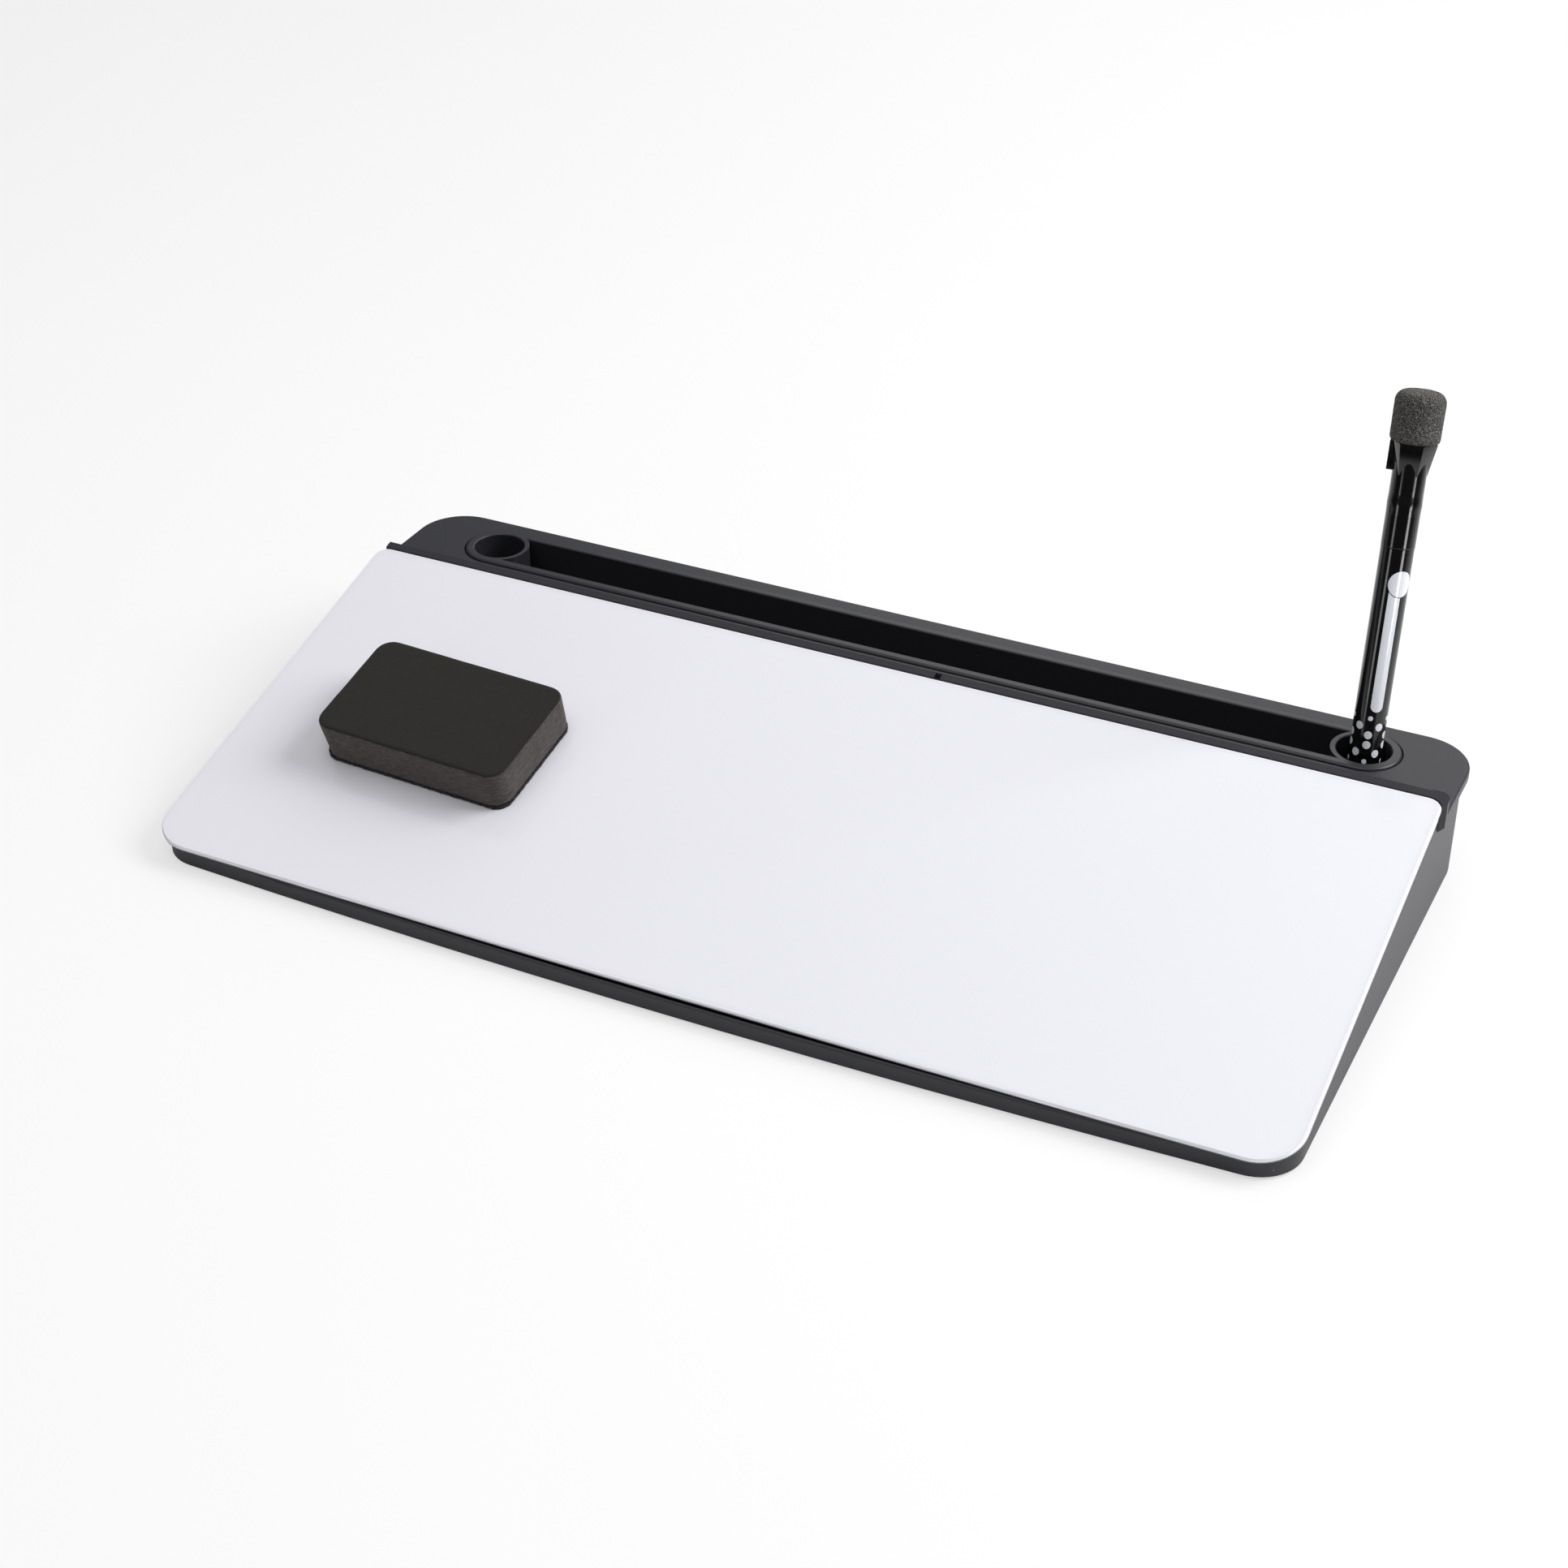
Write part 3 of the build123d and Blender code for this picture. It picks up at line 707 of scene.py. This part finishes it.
def blank_label(shader, turned, z, barrel_radius):
    """Mask of the bare label: a long pill with a disc at its upper end."""
    pill_turn, pill_half = radians(15.0), 2.05 * MM
    pill_low, pill_high = 30.5 * MM, 74.0 * MM
    disc_turn, disc_height = radians(31.7), 74.0 * MM
    disc_radius, disc_gap = 4.35 * MM, 0.25 * MM
    across = shader.math("MULTIPLY", shader.math("SUBTRACT", turned, pill_turn), barrel_radius)
    low_end = pill_low + pill_half
    clamped = shader.node(
        "ShaderNodeClamp", {"Value": z, "Min": low_end, "Max": pill_high}
    ).outputs[0]
    pill = disc_mask(shader, across, shader.math("SUBTRACT", z, clamped), pill_half)
    disc_across = shader.math(
        "MULTIPLY", shader.math("SUBTRACT", turned, disc_turn), barrel_radius
    )
    disc_up = shader.math("SUBTRACT", z, disc_height)
    disc = disc_mask(shader, disc_across, disc_up, disc_radius)
    ring = disc_mask(shader, disc_across, disc_up, disc_radius + disc_gap)
    cut_pill = shader.math("MULTIPLY", pill, shader.math("SUBTRACT", 1.0, ring))
    return shader.math("MAXIMUM", cut_pill, disc)


def felt_material(name, dark, light, sparkle, fibre_scale=1500.0):
    """Dense felt with light fibres standing out of a dark ground."""
    shader = Shader(name)
    fibre = shader.group(
        shared_group("Fibres and pores", fibre_group),
        {"Point": shader.point(), "Fibre Scale": fibre_scale, "Pore Scale": 2200.0},
    )
    ground = shader.ramp(
        fibre.outputs["Fibres"],
        [(0.40, dark), (0.52, light), (0.60, sparkle), (0.75, sparkle)],
    )
    shader.set(Base_Color=ground, Roughness=0.95, Sheen_Weight=0.1, Specular_IOR_Level=0.2)
    shader.bump(fibre.outputs["Height"], strength=0.9, distance=0.5 * MM)
    return shader.material


def foam_material():
    """Closed-cell foam: even skin on top, streaked where the knife cut the sides; the sides are
    painted several times lighter than the top, partly the cut foam's own tone and partly painted
    light and sheen.
    """
    finishes = settings("finishes")
    shader = Shader("Eraser foam")
    sizes = settings("eraser_sizes")
    point = shader.point(eraser_matrix())
    height = shader.split(point)[2]
    fibre = shader.group(
        shared_group("Fibres and pores", fibre_group),
        {"Point": shader.point(), "Fibre Scale": 700.0, "Pore Scale": 2600.0},
    )
    stretched = shader.node(
        "ShaderNodeMapping", {"Vector": point, "Scale": (420.0, 420.0, 1500.0)}
    ).outputs[0]
    streaks = shader.node(
        "ShaderNodeTexNoise", {"Vector": stretched, "Scale": 1.0, "Detail": 6.0, "Roughness": 0.7}
    )
    skin_depth = 0.5 * MM
    on_top = shader.math("GREATER_THAN", height, sizes.felt + sizes.foam - skin_depth)
    foam = finishes.foam
    skin = shader.blend(fibre.outputs["Pores"], rgba(foam, 0.75), rgba(foam, 1.35))
    dust = shader.group(
        shared_group("Dust specks", dust_group),
        {"Point": shader.point(), "Speck Scale": 620.0, "Share": 0.10},
    )
    skin = shader.blend(dust.outputs["Specks"], skin, rgba(foam, 7.0))
    # The cut sides are painted about five times lighter than the top skin. This is partly the
    # streaked tone of cut foam and partly painted light and sheen, standing in for the light that
    # the sides catch.
    cut_side_and_sheen = (0.060, 0.051, 0.047)
    cut = shader.ramp(
        streaks.outputs["Fac"],
        [(0.35, rgba(cut_side_and_sheen, 0.64)), (0.5, rgba(cut_side_and_sheen)), (0.66, rgba(cut_side_and_sheen, 1.6))],
    )
    shader.set(
        Base_Color=shader.blend(on_top, cut, skin),
        Roughness=0.88,
        Sheen_Weight=0.1,
        Specular_IOR_Level=0.25,
    )
    relief = shader.math("ADD", fibre.outputs["Pores"], streaks.outputs["Fac"])
    shader.bump(relief, strength=0.6, distance=0.2 * MM)
    return shader.material


def plain_material(name, colour, roughness, metallic=0.0, scale=600.0):
    """A hidden or small piece's finish, with its own fine texture."""
    shader = Shader(name)
    grain_node = shader.group(
        shared_group("Moulded grain", grain_group),
        {"Point": shader.point(), "Grain Scale": scale},
    )
    tone = grain_node.outputs["Tone"]
    shader.set(
        Base_Color=shader.blend(tone, rgba(colour, 0.8), rgba(colour, 1.2)),
        Roughness=roughness,
        Metallic=metallic,
    )
    shader.bump(grain_node.outputs["Height"], strength=0.3, distance=0.05 * MM)
    return shader.material


def dress_node(node, material):
    """Give a CAD node its finish."""
    mesh = frame["nodes"][node].data
    mesh.materials.clear()
    mesh.materials.append(material)


# Operators

class BOARD_OT_dress_base(bpy.types.Operator):
    """Finish the base shell, the rear deck and the holder in satin charcoal plastic"""

    bl_idname = "board.dress_base"
    bl_label = "Dress Base"

    def execute(self, context):
        colour = settings("finishes").plastic
        dress_node("base_shell", plastic_material("Charcoal shell", colour, 0.42))
        dress_node("rear_deck", plastic_material("Charcoal deck", colour, 0.42))
        dress_node("holder_insert", plastic_material("Charcoal holder", colour, 0.36))
        return {"FINISHED"}


class BOARD_OT_dress_board(bpy.types.Operator):
    """Finish the glass panel and the layers that carry it"""

    bl_idname = "board.dress_board"
    bl_label = "Dress Board"

    def execute(self, context):
        dress_node("glass_panel", board_face_material())
        dress_node("white_backing", plain_material("White film", (0.78, 0.78, 0.79), 0.4))
        dress_node("foam_tape", plain_material("Foam tape", (0.7, 0.7, 0.68), 0.9, scale=900.0))
        dress_node("board_tray", plain_material("Tray plastic", (0.05, 0.05, 0.055), 0.5))
        return {"FINISHED"}


class BOARD_OT_dress_hardware(bpy.types.Operator):
    """Finish the screws, the rubber feet and the rest pads"""

    bl_idname = "board.dress_hardware"
    bl_label = "Dress Hardware"

    def execute(self, context):
        zinc = plain_material(
            "Zinc screws", (0.55, 0.56, 0.58), 0.35, metallic=1.0, scale=900.0
        )
        dress_node("deck_screws", zinc)
        rubber = plain_material("Rubber", (0.018, 0.018, 0.018), 0.8)
        dress_node("rubber_feet", rubber)
        dress_node("board_rest_pads", rubber)
        return {"FINISHED"}


class BOARD_OT_dress_marker(bpy.types.Operator):
    """Finish the marker's barrel, plug, nib and inner pieces"""

    bl_idname = "board.dress_marker"
    bl_label = "Dress Marker"

    def execute(self, context):
        dress_node("marker_barrel", gloss_black_material("Printed barrel", True))
        dress_node("marker_end_plug", gloss_black_material("Barrel plug", False))
        dress_node("nib_holder", plain_material("Nib holder", (0.02, 0.02, 0.02), 0.35))
        dress_node("marker_nib", felt_material(
            "Writing nib", (0.004, 0.004, 0.005, 1), (0.012, 0.012, 0.014, 1), (0.04, 0.04, 0.05, 1)
        ))
        dress_node("ink_reservoir", felt_material(
            "Ink felt", (0.01, 0.01, 0.012, 1), (0.03, 0.03, 0.035, 1), (0.08, 0.08, 0.09, 1)
        ))
        dress_node("cap_seal", plain_material("Cap seal", (0.03, 0.03, 0.03), 0.6))
        return {"FINISHED"}


class BOARD_OT_add_cap(bpy.types.Operator):
    """Model the marker's cap: turned body with a faint bead, tab and six-sided flare"""

    bl_idname = "board.add_cap"
    bl_label = "Add Cap"

    def execute(self, context):
        sizes = settings("marker_sizes")
        low = sizes.seam + 0.03 * MM
        top = sizes.seam + sizes.cap_length
        radius = sizes.cap_radius
        bead = sizes.bead_height
        wall, end, eye = 0.9 * MM, 1.6 * MM, 0.4 * MM
        swell, half_swell = 0.12 * MM, 0.066 * MM
        shoulder, bead_end, bead_support = 1.2 * MM, 3.2 * MM, 3.4 * MM
        rim, rim_support, top_support = 0.3 * MM, 0.45 * MM, 0.5 * MM
        mouth_bevel, mouth_step = 0.1 * MM, 0.25 * MM
        mouth_round = (0.12 * MM, 0.08 * MM)
        rings = [
            (top - end, eye),
            (top - end, radius - wall),
            (low + rim, radius - wall),
            (low, radius - wall + mouth_bevel),
            (low, radius - mouth_step),
            (low + mouth_round[0], radius - mouth_round[1]),
            (low + rim, radius),
            (low + rim_support, radius),
            (bead - bead_support, radius),
            (bead - bead_end, radius),
            (bead - shoulder, radius + half_swell),
            (bead, radius + swell),
            (bead + shoulder, radius + half_swell),
            (bead + bead_end, radius),
            (bead + bead_support, radius),
            (top - top_support, radius),
            (top - rim, radius),
            (top, radius - rim),
            (top, eye),
        ]
        cap = ring_stack("cap_shell", rings)
        pieces = [cap, self.flare(top, radius), self.tab(top, radius), self.peg(top)]
        only(cap)
        for piece in pieces:
            piece.select_set(True)
        bpy.ops.object.join()
        place_mesh(cap, marker_matrix())
        finish_piece(
            cap, gloss_black_material("Cap black", False), "marker_cap",
            ("marker_cap",),
        )
        return {"FINISHED"}

    def flare(self, top, radius):
        """Six flat facets that widen upward from the cap's side to the felt head."""
        length, reach, step, inset = 10.4 * MM, 2.05 * MM, 0.1 * MM, 0.1 * MM
        head_gap, merge = 0.02 * MM, 0.01 * MM
        low, high = top - length, top - head_gap
        rings = [
            (low, radius - inset),
            (low, radius + step),
            (high, radius + reach),
            (high, radius - inset),
            (low, radius - inset),
        ]
        flare = ring_stack("flare", rings, sides=6, filled=False)
        bpy.ops.object.mode_set(mode="EDIT")
        bpy.ops.mesh.select_all(action="SELECT")
        bpy.ops.mesh.remove_doubles(threshold=merge)
        bpy.ops.mesh.normals_make_consistent(inside=False)
        bpy.ops.object.mode_set(mode="OBJECT")
        bevel = flare.modifiers.new("Edge", "BEVEL")
        bevel.width = 0.3 * MM
        bevel.segments = 3
        bevel.limit_method = "ANGLE"
        bevel.angle_limit = radians(20)
        apply_modifiers(flare)
        flare.data.transform(Matrix.Rotation(CAP_TURN - pi / 2, 4, "Z"))
        return flare

    def tab(self, top, radius):
        """The rectangular tab on the other side."""
        length, reach, half_width, sunk = 9.7 * MM, 1.97 * MM, 1.5 * MM, 1.2 * MM
        inner = radius - sunk
        clear_selection()
        bpy.ops.mesh.primitive_cube_add(size=1, location=(0, 0, 0))
        tab = bpy.context.object
        tab.scale = (radius + reach - inner, 2 * half_width, length)
        tab.location = (-(radius + reach + inner) / 2, 0, top - length / 2)
        bpy.ops.object.transform_apply(location=True, rotation=True, scale=True)
        bevel = tab.modifiers.new("Edge", "BEVEL")
        bevel.width = 0.2 * MM
        bevel.segments = 3
        apply_modifiers(tab)
        tab.data.transform(Matrix.Rotation(CAP_TURN, 4, "Z"))
        return tab

    def peg(self, top):
        """The peg that the felt head is pushed onto."""
        radius, length, chamfer, eye, sunk = 4.2 * MM, 4.0 * MM, 0.3 * MM, 0.5 * MM, 0.5 * MM
        foot, end = top - sunk, top + length
        rings = [
            (foot, eye),
            (foot, radius),
            (end - chamfer, radius),
            (end, radius - chamfer),
            (end, eye),
        ]
        return ring_stack("peg", rings, sides=48)


class BOARD_OT_add_head(bpy.types.Operator):
    """Model the felt head on top of the cap"""

    bl_idname = "board.add_head"
    bl_label = "Add Felt Head"

    def execute(self, context):
        sizes = settings("marker_sizes")
        low = sizes.seam + sizes.cap_length
        top = low + sizes.head_length
        radius = sizes.head_radius
        foot_round, crown, crown_round = 1.6 * MM, 0.35 * MM, 3.6 * MM
        socket, socket_depth, eye, draft = 4.3 * MM, 4.05 * MM, 0.5 * MM, 0.1 * MM
        crown_eye = 0.3 * MM
        foot_radius = radius - draft
        foot_top, shoulder = low + foot_round, top - crown_round - crown
        side_rings, crown_rings = 20, 8
        rings = [(low + socket_depth, eye), (low + socket_depth, socket), (low, socket)]
        rings.append((low, radius - foot_round))
        rings += quarter_round((low, radius - foot_round), (foot_top, foot_radius), steps=6)
        for index in range(1, side_rings + 1):
            share = index / side_rings
            rings.append((foot_top + (shoulder - foot_top) * share, radius - draft * (1 - share)))
        crown_start, crown_end = (shoulder, radius), (top - crown, radius - crown_round)
        rings += quarter_round(crown_start, crown_end, steps=10)[:-1]
        for index in range(crown_rings + 1):
            share = 1 - index / crown_rings
            rings.append((top - crown * share ** 2, (radius - crown_round) * share + crown_eye))
        head = ring_stack("felt_head", rings, sides=128)
        subdivide = head.modifiers.new("Smooth", "SUBSURF")
        subdivide.levels = 1
        subdivide.render_levels = 1
        ripple(head, "Felt lumps", strength=0.12 * MM, size=0.7 * MM)
        apply_modifiers(head)
        place_mesh(head, marker_matrix())
        finish_piece(
            head,
            felt_material("Head felt", (0.008, 0.007, 0.006, 1), (0.028, 0.026, 0.024, 1),
                          (0.44, 0.42, 0.385, 1), 3200.0),
            "marker_cap", ("cap_eraser_head",),
        )
        return {"FINISHED"}


class BOARD_OT_add_eraser(bpy.types.Operator):
    """Model the foam eraser and the felt under it"""

    bl_idname = "board.add_eraser"
    bl_label = "Add Eraser"

    def execute(self, context):
        self.add_foam()
        self.add_felt()
        return {"FINISHED"}

    def add_foam(self):
        """The foam block, a little uneven where it was cut."""
        sizes = settings("eraser_sizes")
        low, high = sizes.felt, sizes.felt + sizes.foam
        inset, rim_round, left_draft = 0.2 * MM, 1.1 * MM, 2.2 * MM
        foam = rounded_slab(
            "foam_block", sizes.width - 2 * inset, sizes.depth - 2 * inset, low, high, sizes.corner
        )
        soften_rim(foam, high, rim_round, segments=5)
        only(foam)
        bpy.ops.object.mode_set(mode="EDIT")
        bpy.ops.mesh.select_all(action="SELECT")
        bpy.ops.mesh.quads_convert_to_tris()
        bpy.ops.object.mode_set(mode="OBJECT")
        remesh = foam.modifiers.new("Even faces", "REMESH")
        remesh.mode = "VOXEL"
        remesh.voxel_size = 0.7 * MM
        ripple(foam, "Foam unevenness", strength=0.2 * MM, size=9.0 * MM)
        apply_modifiers(foam)
        for vertex in foam.data.vertices:
            rise = (vertex.co.z - low) / (high - low) - 0.5
            if vertex.co.x < 0:
                vertex.co.x += vertex.co.x / (sizes.width / 2) * left_draft * rise
        place_mesh(foam, eraser_matrix())
        finish_piece(foam, foam_material(), "eraser", ("eraser_foam",))

    def add_felt(self):
        """The black felt pad, its cut edge slightly ragged."""
        sizes = settings("eraser_sizes")
        inset, lift = 0.2 * MM, 0.02 * MM
        felt = rounded_slab(
            "felt_pad", sizes.width - 2 * inset, sizes.depth - 2 * inset, 0.0, sizes.felt,
            sizes.corner - inset,
        )
        remesh = felt.modifiers.new("Even faces", "REMESH")
        remesh.mode = "VOXEL"
        remesh.voxel_size = 0.45 * MM
        ripple(felt, "Ragged felt", strength=0.5 * MM, size=1.1 * MM)
        apply_modifiers(felt)
        for vertex in felt.data.vertices:
            vertex.co.z = min(max(vertex.co.z, lift), sizes.felt)
        place_mesh(felt, eraser_matrix())
        finish_piece(
            felt,
            felt_material("Black felt", (0.002, 0.002, 0.002, 1), (0.008, 0.007, 0.010, 1),
                          (0.05, 0.045, 0.06, 1)),
            "eraser", ("eraser_felt",),
        )


class BOARD_OT_add_studio(bpy.types.Operator):
    """Set the floor, the lamps, the room light and the camera"""

    bl_idname = "board.add_studio"
    bl_label = "Add Studio"

    def execute(self, context):
        studio = settings("studio")
        self.add_floor()
        self.add_room(studio)
        centre = Vector((0, 0, 0.03))
        self.add_lamp("Key", (1.05, 0.45, 1.05), centre, (0.9, 0.9), studio.key_power)
        self.add_lamp("Top", (-0.1, -0.6, 1.9), centre, (1.4, 1.4), studio.top_power)
        self.add_lamp("Back", (0.0, 1.35, 0.85), centre, (1.5, 0.8), studio.back_power)
        strip_away, strip_width = 1.2, 0.28
        for name, turn, height, share in (
            ("Right strip", 40.0, 0.112, 0.9), ("Left strip", -50.0, 0.165, 0.54)
        ):
            side = studio.azimuth + radians(turn)
            place = (strip_away * sin(side), -strip_away * cos(side), height / 2)
            self.add_lamp(
                name, place, centre, (strip_width, height), studio.strip_power * share
            )
        self.add_camera(studio)
        view = context.scene.view_settings
        view.view_transform = "Standard"
        return {"FINISHED"}

    def add_floor(self):
        """A round pale floor: white to the camera, darker to other rays far from the board."""
        clear_selection()
        bpy.ops.mesh.primitive_circle_add(vertices=128, radius=6.0, fill_type="NGON")
        floor = bpy.context.object
        floor.name = "floor"
        bpy.ops.object.mode_set(mode="EDIT")
        bpy.ops.mesh.select_all(action="SELECT")
        bpy.ops.mesh.inset(thickness=0.8, depth=0.0)
        bpy.ops.object.mode_set(mode="OBJECT")
        shader = Shader("Pale floor")
        low_tone, high_tone, far_tone = (0.86, 0.86, 0.87), (0.89, 0.89, 0.9), (0.05, 0.05, 0.05)
        camera_glow = 0.6
        mottle = shader.node("ShaderNodeTexNoise", {"Vector": shader.point(), "Scale": 3.0})
        pale = shader.blend(mottle.outputs["Fac"], rgba(low_tone), rgba(high_tone))
        away = shader.node("ShaderNodeVectorMath", {0: shader.point()}, operation="LENGTH")
        far = shader.node(
            "ShaderNodeMapRange",
            {"Value": away.outputs["Value"], "From Min": 0.35, "From Max": 0.95},
            interpolation_type="SMOOTHSTEP",
        )
        rays = shader.node("ShaderNodeLightPath")
        unseen = shader.math("SUBTRACT", 1.0, rays.outputs["Is Camera Ray"])
        dimmed = shader.math("MULTIPLY", far.outputs[0], unseen)
        shader.set(
            Base_Color=shader.blend(dimmed, pale, rgba(far_tone)),
            Roughness=0.9,
            Specular_IOR_Level=0.1,
        )
        glow = shader.node("ShaderNodeEmission", {"Color": (1, 1, 1, 1), "Strength": 1.0})
        seen = shader.math("MULTIPLY", rays.outputs["Is Camera Ray"], camera_glow)
        mixed = shader.node("ShaderNodeMixShader", {"Fac": seen})
        shader.tree.links.new(shader.surface.outputs[0], mixed.inputs[1])
        shader.tree.links.new(glow.outputs[0], mixed.inputs[2])
        shader.tree.links.new(
            mixed.outputs[0], shader.tree.nodes["Material Output"].inputs["Surface"]
        )
        floor.data.materials.append(shader.material)

    def add_room(self, studio):
        """Even room light, seen as white where the camera looks past the floor."""
        world = bpy.data.worlds.new("Room")
        bpy.context.scene.world = world
        world.use_nodes = True
        room = Nodes(world.node_tree)
        upward = room.split(room.node("ShaderNodeTexCoord").outputs["Generated"])[2]
        glow = room.node(
            "ShaderNodeMapRange",
            {"Value": upward, "From Max": 0.7, "To Min": 0.06, "To Max": studio.ambient},
            interpolation_type="SMOOTHSTEP",
        ).outputs[0]
        seen = room.node("ShaderNodeLightPath").outputs["Is Camera Ray"]
        strength = room.node("ShaderNodeMapRange", {"Value": seen, "To Min": glow, "To Max": 1.0})
        background = room.tree.nodes["Background"]
        room.feed(background.inputs["Strength"], strength.outputs[0])
        room.feed(background.inputs["Color"], (0.98, 0.99, 1.0, 1.0))

    def add_lamp(self, name, place, target, size, power):
        """A rectangular soft lamp aimed at the board; size is its width and height."""
        clear_selection()
        bpy.ops.object.light_add(type="AREA", location=place)
        lamp = bpy.context.object
        lamp.name = name
        lamp.data.shape = "RECTANGLE"
        lamp.data.size, lamp.data.size_y = size
        lamp.data.energy = power
        lamp.rotation_euler = (target - Vector(place)).to_track_quat("-Z", "Y").to_euler()

    def add_camera(self, studio):
        """The camera, at the photograph's angle."""
        clear_selection()
        bpy.ops.object.camera_add(location=studio.stand)
        camera = bpy.context.object
        camera.name = "Camera"
        camera.data.lens = studio.lens
        camera.data.sensor_width = SENSOR_WIDTH
        camera.data.clip_end = 50.0
        forward = Vector(
            (
                -sin(studio.azimuth) * cos(studio.elevation),
                cos(studio.azimuth) * cos(studio.elevation),
                -sin(studio.elevation),
            )
        )
        level = forward.to_track_quat("-Z", "Y")
        camera.rotation_euler = (
            level.to_matrix() @ Matrix.Rotation(studio.roll, 3, "Z")
        ).to_euler()
        bpy.context.scene.camera = camera


class BOARD_PT_panel(bpy.types.Panel):
    """Buttons for the board's pieces and the studio"""

    bl_label = "Dry-Erase Board"
    bl_idname = "BOARD_PT_panel"
    bl_space_type = "VIEW_3D"
    bl_region_type = "UI"
    bl_category = "Board"

    def draw(self, context):
        for operator in STEPS:
            self.layout.operator(operator.bl_idname)


STEPS = (
    BOARD_OT_dress_base,
    BOARD_OT_dress_board,
    BOARD_OT_dress_hardware,
    BOARD_OT_dress_marker,
    BOARD_OT_add_cap,
    BOARD_OT_add_head,
    BOARD_OT_add_eraser,
    BOARD_OT_add_studio,
)
SETTINGS = {
    "marker_sizes": MarkerSizes,
    "eraser_sizes": EraserSizes,
    "finishes": Finishes,
    "studio": StudioSettings,
}


def register():
    """Add the settings, operators and panel to Blender."""
    for name, group in SETTINGS.items():
        bpy.utils.register_class(group)
        setattr(bpy.types.Scene, name, bpy.props.PointerProperty(type=group))
    for operator in STEPS:
        bpy.utils.register_class(operator)
    bpy.utils.register_class(BOARD_PT_panel)


def unregister():
    """Take everything out again."""
    bpy.utils.unregister_class(BOARD_PT_panel)
    for operator in reversed(STEPS):
        bpy.utils.unregister_class(operator)
    for name, group in SETTINGS.items():
        delattr(bpy.types.Scene, name)
        bpy.utils.unregister_class(group)


def main():
    """Register everything and run every step in order."""
    register()
    for operator in STEPS:
        category, action = operator.bl_idname.split(".")
        getattr(getattr(bpy.ops, category), action)()


if __name__ == "__main__":
    main()
